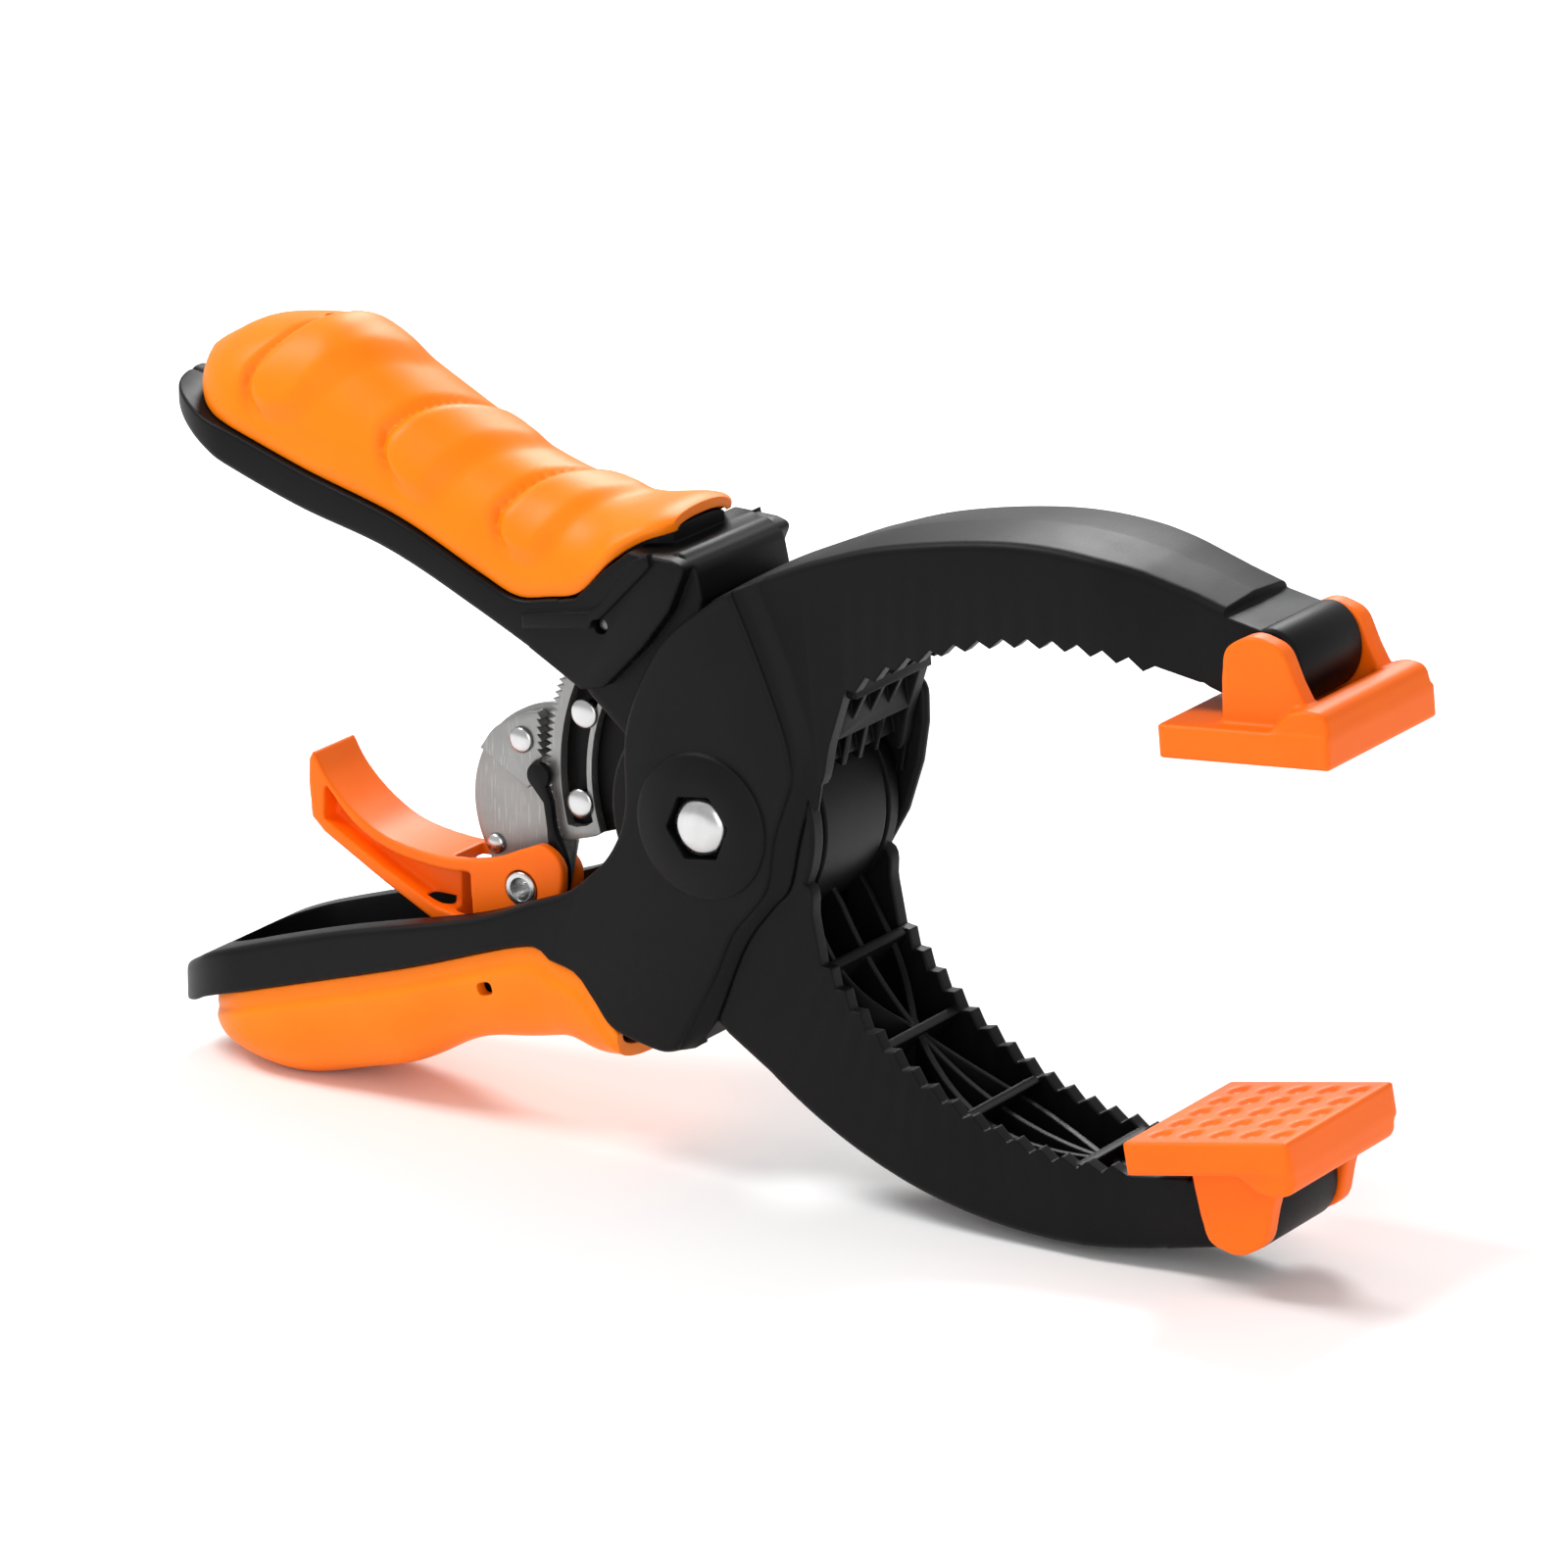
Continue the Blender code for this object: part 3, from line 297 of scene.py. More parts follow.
def rounded(corners, steps=4, closed=True):
    """A polygon of (a, b, radius) corners with each corner rounded, steps + 1 points to a corner."""
    points = [np.array(c[:2], float) for c in corners]
    out = []
    count = len(points)
    for i, corner in enumerate(corners):
        here = points[i]
        radius = corner[2] if len(corner) > 2 else 0.0
        ends = not closed and i in (0, count - 1)
        if radius <= 0 or ends:
            out.append(here)
            continue
        before, after = points[i - 1] - here, points[(i + 1) % count] - here
        long_before, long_after = np.linalg.norm(before), np.linalg.norm(after)
        before, after = before / long_before, after / long_after
        half = math.acos(max(-1.0, min(1.0, float(before @ after)))) / 2
        back = min(radius / max(math.tan(half), 0.05), 0.48 * long_before, 0.48 * long_after)
        a, b = here + before * back, here + after * back
        for k in range(steps + 1):
            t = k / steps
            out.append((1 - t) ** 2 * a + 2 * t * (1 - t) * here + t ** 2 * b)
    return out


def grow(loop, distance):
    """A closed outline moved outwards by distance, or inwards when that is negative."""
    loop = np.array(loop, float)
    ahead = np.roll(loop, -1, axis=0) - np.roll(loop, 1, axis=0)
    ahead /= np.maximum(np.linalg.norm(ahead, axis=1)[:, None], 1e-9)
    out = np.column_stack([ahead[:, 1], -ahead[:, 0]])
    turned_area = np.sum(loop[:, 0] * np.roll(loop[:, 1], -1) - np.roll(loop[:, 0], -1) * loop[:, 1])
    return loop + out * distance * (1 if turned_area > 0 else -1)


def step_smooth(value, low, high):
    t = min(1.0, max(0.0, (value - low) / (high - low)))
    return t * t * (3 - 2 * t)


# ---------------------------------------------------------------- solids

def slab(outline, y_low, y_high, edge=0.0, segments=2):
    """A flat outline given thickness along Y, with its rims rounded."""
    bm = bmesh.new()
    face = bm.faces.new([bm.verts.new((p[0], y_low, p[1])) for p in outline])
    grown = bmesh.ops.extrude_face_region(bm, geom=[face])
    moved = [item for item in grown["geom"] if isinstance(item, bmesh.types.BMVert)]
    bmesh.ops.translate(bm, verts=moved, vec=(0, y_high - y_low, 0))
    bmesh.ops.recalc_face_normals(bm, faces=bm.faces)
    if edge:
        rims = [e for e in bm.edges if abs(e.verts[0].co.y - e.verts[1].co.y) < 1e-6]
        bmesh.ops.bevel(bm, geom=rims, offset=edge, offset_type="OFFSET", segments=segments,
                        profile=0.5, affect="EDGES", clamp_overlap=True, material=-1)
    return bm


def rod(x, z, y_low, y_high, radius, segments=48, edge=0.0):
    """A round bar along Y with its ends eased."""
    bm = bmesh.new()
    place = Matrix.Translation((x, (y_low + y_high) / 2, z)) @ Matrix.Rotation(math.radians(-90), 4, "X")
    bmesh.ops.create_cone(bm, cap_ends=True, segments=segments, radius1=radius, radius2=radius,
                          depth=y_high - y_low, matrix=place)
    if edge:
        rims = [e for e in bm.edges if abs(e.verts[0].co.y - e.verts[1].co.y) < 1e-6]
        bmesh.ops.bevel(bm, geom=rims, offset=edge, offset_type="OFFSET", segments=3,
                        profile=0.5, affect="EDGES", clamp_overlap=True, material=-1)
    return bm


def turned(profile, x, z, segments=64):
    """A solid turned about Y from (radius, y) points that start and end on its axis."""
    bm = bmesh.new()
    verts = [bm.verts.new((x + r, y, z)) for r, y in profile]
    edges = [bm.edges.new(pair) for pair in zip(verts, verts[1:])]
    bmesh.ops.spin(bm, geom=verts + edges, cent=(x, 0, z), axis=(0, 1, 0),
                   angle=math.tau, steps=segments, use_merge=True)
    bmesh.ops.remove_doubles(bm, verts=bm.verts, dist=1e-3)
    bmesh.ops.recalc_face_normals(bm, faces=bm.faces)
    return bm


def skin(rows):
    """A grid laid round closed rows of points and capped at both ends."""
    rows = [np.array(row, float) for row in rows]
    across, along = len(rows[0]), len(rows)
    bm = bmesh.new()
    bmesh.ops.create_grid(bm, x_segments=across, y_segments=along - 1, size=1)
    for vert in bm.verts:
        column = round((vert.co.x + 1) / 2 * across) % across
        row = round((vert.co.y + 1) / 2 * (along - 1))
        vert.co = rows[row][column]
    bmesh.ops.remove_doubles(bm, verts=bm.verts, dist=1e-4)
    bmesh.ops.holes_fill(bm, edges=bm.edges, sides=0)
    bmesh.ops.recalc_face_normals(bm, faces=bm.faces)
    return bm


def scratch_object(bm):
    mesh = bpy.data.meshes.new("scratch")
    bm.to_mesh(mesh)
    bm.free()
    obj = bpy.data.objects.new("scratch", mesh)
    bpy.context.scene.collection.objects.link(obj)
    return obj


def settled(obj, helpers=()):
    """The bmesh of an object with its modifiers applied; the object goes."""
    bpy.context.view_layer.update()
    graph = bpy.context.evaluated_depsgraph_get()
    evaluated = obj.evaluated_get(graph)
    bm = bmesh.new()
    bm.from_mesh(evaluated.to_mesh())
    evaluated.to_mesh_clear()
    for gone in (obj, *helpers):
        bpy.data.objects.remove(gone)
    return bm


def carve(base, adds=(), cuts=()):
    """base joined with adds, then cut by cuts."""
    body = scratch_object(base)
    helpers = []
    for operation, group in (("UNION", adds), ("DIFFERENCE", cuts)):
        for bm in group:
            modifier = body.modifiers.new(operation, "BOOLEAN")
            modifier.operation = operation
            modifier.solver = "MANIFOLD"
            modifier.object = scratch_object(bm)
            helpers.append(modifier.object)
    return settled(body, helpers)


def softened(bm, grain, passes):
    """A solid skinned again at an even grain and eased, as a moulded piece with filleted corners."""
    obj = scratch_object(bm)
    remesh = obj.modifiers.new("skin", "REMESH")
    remesh.mode = "VOXEL"
    remesh.voxel_size = grain
    ease = obj.modifiers.new("ease", "SMOOTH")
    ease.factor = 0.5
    ease.iterations = passes
    return settled(obj)


def mirrored(bm):
    """A copy of a solid on the other side of the middle plane."""
    other = bm.copy()
    bmesh.ops.scale(other, vec=(1, -1, 1), verts=other.verts)
    bmesh.ops.recalc_face_normals(other, faces=other.faces)
    return other


def piece(name, bm, finish, body, replaces=(), sharp=38):
    """A finished piece: placed in its mesh, riding on a body, in its finish."""
    bmesh.ops.remove_doubles(bm, verts=bm.verts, dist=1e-4)
    bmesh.ops.recalc_face_normals(bm, faces=bm.faces)
    bmesh.ops.transform(bm, matrix=Matrix.Translation(PIVOT) @ Matrix.Scale(MM, 4), verts=bm.verts)
    mesh = bpy.data.meshes.new(name)
    bm.to_mesh(mesh)
    bm.free()
    mesh.shade_smooth()
    if sharp:
        mesh.set_sharp_from_angle(angle=math.radians(sharp))
    obj = bpy.data.objects.new(name, mesh)
    bpy.context.scene.collection.objects.link(obj)
    mesh.materials.append(FINISHES[finish])
    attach(obj, body)
    if replaces:
        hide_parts(*replaces)
    return obj


# ---------------------------------------------------------------- handles

def nose_width(x, full, start, length):
    u = max(0.0, (start - x) / length)
    return full * math.sqrt(max(0.0, 1 - u * u))


def bowl(half, z_edge, z_deep, steps, power=2.6):
    """Half a rounded trough section, from its edge at +Y to its bottom in the middle."""
    out = []
    for i in range(steps + 1):
        angle = math.pi / 2 * i / steps
        out.append((half * math.cos(angle) ** (2 / power),
                    z_edge + (z_deep - z_edge) * math.sin(angle) ** (2 / power)))
    return out


def both_sides(half_run):
    return half_run + [(-y, z) for y, z in reversed(half_run[:-1])]


LOWER_RIM = height([(-116, -49.4), (-108, -44.6), (-99.5, -40.4), (-75.5, -32.6), (-48, -25.2),
                    (-34.2, -19.6), (-27.4, -16.6), (-21.4, -11.7), (-12, -6)])
LOWER_BAND = height([(-116, -55.4), (-108, -52.4), (-99, -48.6), (-61.7, -36.9), (-36.7, -28.2),
                     (-31, -29.6), (-25.6, -31.0), (-22, -34.9), (-18.3, -39.2), (-15, -43)])
LOWER_BELLY = height([(-110, -57.5), (-105.6, -59.6), (-97, -62.2), (-88, -62.8), (-78, -61.4),
                      (-67, -57.6), (-56, -52.4), (-44.5, -48.2), (-32, -46.2), (-24, -47.2),
                      (-16, -45.4)])
UPPER_RIM = height([(-114.5, 56.6), (-108, 52.6), (-101, 48.8), (-96, 46.6), (-81, 41.7),
                    (-63, 37.3), (-46, 30.3), (-28.6, 21.8), (-20, 17)])
UPPER_BAND = height([(-114.5, 58.4), (-108, 57.2), (-101, 54.8), (-95, 53.2), (-80, 48.4),
                     (-61, 43.2), (-45, 36.3), (-37.4, 33.4), (-31, 34.2), (-24.7, 36.0),
                     (-19, 41.9), (-14.2, 45.6), (-9, 47.4)])
UPPER_CROWN = height([(-111, 62.5), (-104, 66.8), (-97, 70.0), (-83, 71.8), (-76, 69.6),
                      (-66, 64.2), (-56, 59.0), (-44, 54.0), (-31.5, 50.8), (-22, 49.8),
                      (-13.6, 50.8), (-9, 49.6)])
LOWER_STATIONS = (-108, -17.5)
UPPER_STATIONS = (-109, -10.5)


def stations(start, end, count, bunch=1.6):
    """Places along x, closer together at the rounded nose."""
    return [start + (end - start) * (i / (count - 1)) ** bunch for i in range(count)]


def handle_skin(places, rim, band, deep, nose, grip_nose, power):
    """A trough-shaped handle: a bare band under a rounded rim, and a core inside the grip."""
    rows = []
    for x in places:
        half = max(nose_width(x, RIM_HALF, *nose), 3.2)
        half = min(half, float(np.interp(x, (-46, -32), (RIM_HALF, CHEEK_OUT - 0.02))))
        core = max(min(nose_width(x, GRIP_HALF, *grip_nose), half) - GRIP_WALL - GAP, 1.8)
        down = 1 if deep(x) > band(x) else -1
        foot = band(x) - down * GAP
        end = deep(x) - down * (GRIP_WALL + GAP)
        if down * (end - foot) < 1.0 or x < -107.5:
            end = foot + down * 0.4
        inside = max(core - HANDLE_WALL, 0.8)
        hollow = end - down * HANDLE_WALL
        open_share = min(1.0, (x - places[0]) / 9 + 0.1)
        hollow = rim(x) + (hollow - rim(x)) * open_share
        deep_band = abs(foot - rim(x))
        outer = rounded([(inside, rim(x)), (half, rim(x), min(1.5, deep_band * 0.3)),
                         (half, foot, 0.6), (core, foot)], 5, closed=False)[1:]
        outer = [tuple(p) for p in outer] + bowl(core, foot, end, 14, power)[1:]
        inner = bowl(inside, rim(x), hollow, 14)
        outer = both_sides(outer)
        inner = both_sides(inner)
        rows.append([(x, y, z) for y, z in outer] + [(x, y, z) for y, z in reversed(inner)])
    return skin(rows)


def grip_skin(places, band, deep, grip_nose, power, swell, lip):
    """A soft sleeve round a handle's core; swell(x, s, edge) raises it, s from the crown to near +."""
    rows = []
    for x in places:
        half = max(nose_width(x, GRIP_HALF, *grip_nose), 4.2)
        if deep(x) > band(x):
            half = min(half, 8.5 + 7.7 * math.sqrt(max(0.0, min(1.0, (-10.4 - x) / 9.0))))
        down = 1 if deep(x) > band(x) else -1
        end = deep(x)
        if down * (end - band(x)) < 1.4 + GRIP_WALL:
            end = band(x) + down * (1.4 + GRIP_WALL)
        outer = both_sides(bowl(half, band(x), end, 72, power))
        steps = np.r_[0, np.cumsum(np.linalg.norm(np.diff(np.array(outer), axis=0), axis=1))]
        raised = []
        for (y, z), step in zip(outer, steps):
            lift = swell(x, step - steps[-1] / 2, steps[-1] / 2)
            away = np.array([y / max(half, 1) ** 2, (z - band(x)) / max(abs(end - band(x)), 1) ** 2])
            away = away / max(np.linalg.norm(away), 1e-6)
            edge = min(1.0, abs(z - band(x)) / lip)
            tuck = 0.9 * (1 - edge) ** 2
            raised.append((y + away[0] * (lift * edge - tuck), z + away[1] * lift * edge))
        inner = both_sides(bowl(half - GRIP_WALL, band(x), end - down * GRIP_WALL, 72, power))
        rows.append([(x, y, z) for y, z in raised] + [(x, y, z) for y, z in reversed(inner)])
    return skin(rows)


def pillow(x, across, ends, radius, rise):
    """A raised finger pad between two (x, across) points, with a crease along its nose side."""
    here = np.array([x, across])
    a, b = np.array(ends[0], float), np.array(ends[1], float)
    along = float(np.clip((here - a) @ (b - a) / ((b - a) @ (b - a)), 0, 1))
    off = here - (a + (b - a) * along)
    gap = np.linalg.norm(off)
    noseward = max(0.0, -off[0] / max(gap, 0.1))
    top = rise * (1 - step_smooth(gap, (0.3 + 0.35 * noseward) * radius, radius)) * (1 - 0.25 * along)
    crease = 0.8 * noseward ** 2 * (1 - 0.5 * along) * math.exp(-((gap - radius - 0.2) / 0.9) ** 2)
    return top - 1.6 * crease


UPPER_PILLOWS = (((-85.6, 18.0), (-74.5, -3.5)), ((-58.8, 17.0), (-50.0, -4.0)),
                 ((-36.2, 16.5), (-28.6, -3.0)))


def upper_swell(x, s, edge):
    lift = sum(pillow(x, s, ends, radius, 1.4)
               for ends, radius in zip(UPPER_PILLOWS, (7.4, 6.6, 6.2)))
    return lift - 0.5


def lower_swell(x, s, edge):
    """Slow waves along the belly, and a bevelled band along the edge under the rim."""
    wave = 0.45 * math.cos((x + 88) / 24 * math.tau)
    wave *= (1 - (s / edge) ** 2) * step_smooth(x, -108, -96) * (1 - step_smooth(x, -34, -24))
    return wave - 0.9 * step_smooth(abs(s), edge - 4.4, edge - 2.6)


# ---------------------------------------------------------------- jaws

def jaw_half(x):
    return float(np.interp(x, (40, 72, 87), (13.5, 12.3, 10.02)))


def jaw_row(outer, inner, tooth=0.0, crown=0.7):
    """A U section with a rounded spine between a point on the spine and one on the toothed edge."""
    outer, inner = np.array(outer, float), np.array(inner, float)
    deep = np.linalg.norm(inner - outer)
    inward = (inner - outer) / deep
    half = jaw_half(outer[0])
    thin = half - JAW_WALL
    edge = deep - tooth
    section = [(edge, half, 0.35), (crown, half, 1.7), (0.0, 0.0, 9.0), (crown, -half, 1.7),
               (edge, -half, 0.35), (edge, -thin, 0.35), (SPINE, -thin, 1.2), (SPINE, thin, 1.2),
               (edge, thin, 0.35)]
    out = []
    for away, y in rounded(section, 4):
        p = outer + inward * away
        out.append((p[0], y, p[1]))
    return out


def toothed_rows(spine, spine_x, centre, radius, angles, teeth):
    """Sections along a sawtooth edge on an arc."""
    rows = []
    steps = 4 * teeth
    for i in range(steps + 1):
        share = i / steps
        x = spine_x[0] + (spine_x[1] - spine_x[0]) * share
        inner = polar(radius, angles[0] + (angles[1] - angles[0]) * share, centre)
        cut = abs(((i + 2) % 4) - 2) / 2
        rows.append(jaw_row((x, spine(x)), inner, TOOTH_DEPTH * (1 - cut)))
    return rows


def between(row_a, row_b, count):
    """Rows between two rows, leaving out the last."""
    a, b = np.array(row_a), np.array(row_b)
    return [a + (b - a) * i / count for i in range(count)]


def blended(rows, count):
    """Rows passed through smoothly."""
    flat = [np.array(r, float).ravel() for r in rows]
    return [f.reshape(-1, 3) for f in curve(flat, count)]


UPPER_SPINE = height([(-3, 37.0), (8.5, 43.6), (17, 47.6), (34, 53.5), (57, 57.5), (76, 56.7),
                      (94, 52.3), (102, 49.6)])


def lower_spine(x):
    return 31.0 - math.sqrt(92.3 ** 2 - (x - 66.7) ** 2)


def lower_edge(x):
    """z of the lower jaw's toothed edge."""
    return 16.6 - math.sqrt(max(62.5 ** 2 - (x - 73.2) ** 2, 0))


def wall_across(floor, edge, half, thick=1.6):
    """A thin wall across a jaw's channel."""
    floor, edge = np.array(floor, float), np.array(edge, float)
    along = (edge - floor) / np.linalg.norm(edge - floor)
    side = np.array((along[1], -along[0])) * thick / 2
    foot = floor + along * 1.5
    return slab([foot + side, edge + side, edge - side, foot - side], -half, half, 0.3)


def wall_along(path, thick=1.1):
    """A thin wall through (x, y, z of its top, z of its foot) points."""
    path = even(path, 40)
    rows = []
    for i, (x, y, top, foot) in enumerate(path):
        ahead = path[min(i + 1, len(path) - 1)][:2] - path[max(i - 1, 0)][:2]
        side = np.array((-ahead[1], ahead[0])) / np.linalg.norm(ahead) * thick / 2
        rows.append([(x + side[0], y + side[1], foot), (x + side[0], y + side[1], top),
                     (x - side[0], y - side[1], top), (x - side[0], y - side[1], foot)])
    return skin(rows)


# ---------------------------------------------------------------- outer arm

def sector(radius, start, end, steps=48):
    return [(0.0, 0.0)] + arc(radius, start, end, steps)


def swept_room():
    """What the inner arm passes through between the cheeks."""
    hub, handle = arc(HUB_R + 0.8, 0, 357, 119), sector(70, 91.5, 192)
    rack, root, jaw = sector(41.9, 186, 236, 24), sector(37.6, 234, 274, 16), sector(60, 268, 375, 36)
    rooms = [hub, handle, rack, root, jaw]
    return [slab(r, -CHEEK_IN, CHEEK_IN) for r in rooms]


def cheek():
    """The far cheek: a plateau round the pivot that ramps down to the jaw."""
    top_foot = curve([(-24.5, -14.6), (-18.6, -8.2), (-15.6, 0), (-15.2, 14.5), (-8.7, 29.4),
                      (4.0, 40.4), (10.5, 43.4)])
    top_plateau = curve([(-24.5, -14.6), (-18.6, -8.2), (-15.6, 0), (-15.2, 14.5), (-8.7, 29.4),
                         (1.5, 38.6), (5.6, 41.2)])
    right_foot = curve([(10.5, 43.4), (15.5, 33.9), (19.2, 23.9), (21.5, 15), (21.3, 9),
                        (19.6, 0), (17.4, -8.8), (14, -12.5), (9.4, -18.7), (6.3, -24.7),
                        (2.4, -35.7), (-3.4, -40.4)])
    right_plateau = curve([(5.6, 41.2), (10.6, 31.1), (15.9, 18.8), (17.4, 12.4), (17, 9),
                           (14, -0.2), (12.8, -8.4), (9.8, -13), (6, -17.8), (2.9, -25),
                           (-1, -32.6), (-5.0, -40.2)])
    low_foot = curve([(-3.4, -40.4), (-7.0, -41.4), (-11.6, -40.8), (-18.3, -39.0), (-22.2, -34.6),
                      (-25.6, -30.9), (-30.0, -29.4)])
    low_plateau = curve([(-5.0, -40.2), (-7.6, -41.2), (-11.6, -40.8), (-18.3, -39.0),
                         (-22.2, -34.6), (-25.6, -30.9), (-30.0, -29.4)])
    left = [(-30.0, -29.4), (-24.5, -14.6)]

    def ring(top, right, low):
        return np.vstack([even(top, 50)[:-1], even(right, 60)[:-1], even(low, 30)[:-1],
                          even(left, 12)[:-1]])

    foot, plateau = ring(top_foot, right_foot, low_foot), ring(top_plateau, right_plateau, low_plateau)
    levels = [(0.0, 12.6, 0.0), (0.0, 13.2, 0.0)]
    levels += [(i / 10, 13.2 + 2.3 * step_smooth(i / 10, 0, 1), 0.0) for i in range(1, 11)]
    levels += [(1.0, CHEEK_OUT - 0.8 + 0.8 * math.sin(math.radians(a)),
                -0.8 * (1 - math.cos(math.radians(a)))) for a in (0, 22, 45, 67, 90)]
    rows = []
    for share, y, inset in levels:
        loop = foot + (plateau - foot) * share
        if inset:
            loop = grow(loop, inset)
        rows.append([(p[0], y, p[1]) for p in loop])
    return skin(rows)


def boss():
    """The shallow dome round the bolt."""
    dome = [(6.4 + 6.0 * k / 10, 16.85 + 0.95 * math.cos(math.pi / 2 * k / 10)) for k in range(11)]
    return turned([(0, 14.4), (0, 17.8), *dome, (12.6, 16.6), (12.6, 14.4), (0, 14.4)], 0, 0, 96)


def make_outer_arm():
    spine = UPPER_SPINE
    root = blended([
        jaw_row((-0.4, spine(-0.4)), polar(22.4, 89.5)),
        jaw_row((8.5, spine(8.5)), polar(22.4, 57)),
        jaw_row((17, spine(17)), (20.6, 9.6)),
        jaw_row((22, spine(22)), (23.2, 17.5)),
    ], 6)
    teeth = toothed_rows(spine, (26, 80), (68.4, -27.5), 67.8, (128.5, 77.3), 13)
    root = root + between(root[-1], teeth[0], 4)[1:]
    before, end = (jaw_row((x, spine(x)), (x + 1.6, z)) for x, z in ((89, 38.6), (94.8, 38.9)))
    tip = between(teeth[-1], before, 6)[1:] + between(before, end, 5) + [np.array(end)]
    jaw = skin([*root, *teeth, *tip])
    x, z = UPPER_PIN
    neck = [(87, 40.6), (87, spine(87) - 1.6), (93.5, spine(93.5) - 1.6), (95.6, spine(95) - 1.9, 0.3),
            (x - 0.4, spine(x) - 0.9, 2), (x + 3.2, z + 5.0, 3),
            (x + 5.0, z, 3), (x + 2.6, z - 5.4, 3), (x - 2, z - 6.8, 3), (92.6, 38.1)]
    adds = [slab(rounded(neck), -10.0, 10.0, 0.7, 3),
            slab([(x + 5.6 * math.cos(a), z + 7.2 * math.sin(a))
                  for a in np.linspace(0, math.tau, 48, endpoint=False)], -9.98, 9.98, 0.7, 3)]
    places = [((14, 44), (19.6, 12.6)), ((19, 46), (22.4, 17.4)), ((24, 49), (26.4, 25.2)),
              ((45, 55), (47.5, 40)), ((72, 56), (71, 43.5))]
    adds += [wall_across(a, b, jaw_half(a[0]) - JAW_WALL + 1.0) for a, b in places]
    adds.append(slab([(-0.2, 37.2), (-0.2, 22.9), (3.0, 22.9), (3.0, 38.8)], -12, 12, 0.4))
    for y in (-5.0, 0.0, 5.0):
        path = [(5, y * 0.6, 24.4, 40), (12, y * 0.9, 20.0, 44), (18, y, 12.6, 46),
                (20.6, y, 11.0, 46), (22.4, y * 1.1, 18.6, 47), (26, y * 1.1, 25.8, 48),
                (34, y * 0.5, 33.0, 51), (44, 0, 39.5, 54)]
        adds.append(wall_along(path))
    far = cheek()
    dome = boss()
    swell = [(10, -14), (16.6, -9.6, 3), (20.8, -2, 4), (23.6, 7, 4), (24.6, 14, 4), (24.4, 21, 4), (14, 26)]
    adds += [mirrored(far), far, mirrored(dome), dome, slab(rounded(swell), 13.9, 16.0, 0.9, 3)]
    places = stations(-114.9, -21.0, 90)
    adds.append(handle_skin(places, LOWER_RIM, LOWER_BAND, LOWER_BELLY, (-96, 19.3), (-94, 14.5), 3.0))
    floor = arc(36.0, 233, 266, 16)
    floor += [(-4.5, -40.6), (-10.5, -40.4), (-17.2, -38.1), (-21.5, -36.9), (-25.2, -36.2)]
    adds.append(slab(floor, -13.2, 13.2))
    hexagon = [(6.2 * math.cos(a), 6.2 * math.sin(a), 0.9)
               for a in np.radians([8, 68, 128, 188, 248, 308])]
    hexagon = rounded(hexagon)
    cuts = swept_room() + [
        rod(0, 0, -20, 20, 4.3), slab(hexagon, -20, -15.4), slab(hexagon, 15.4, 20),
        rod(x, z, -12, 12, 1.9, 32), rod(9.6, 0, -15.3, -12, 1.4, 24),
    ]
    arm = carve(jaw, adds, cuts)
    piece("outer_arm_shell", arm, "black_nylon", "outer", ["outer_arm"])


# ---------------------------------------------------------------- inner arm

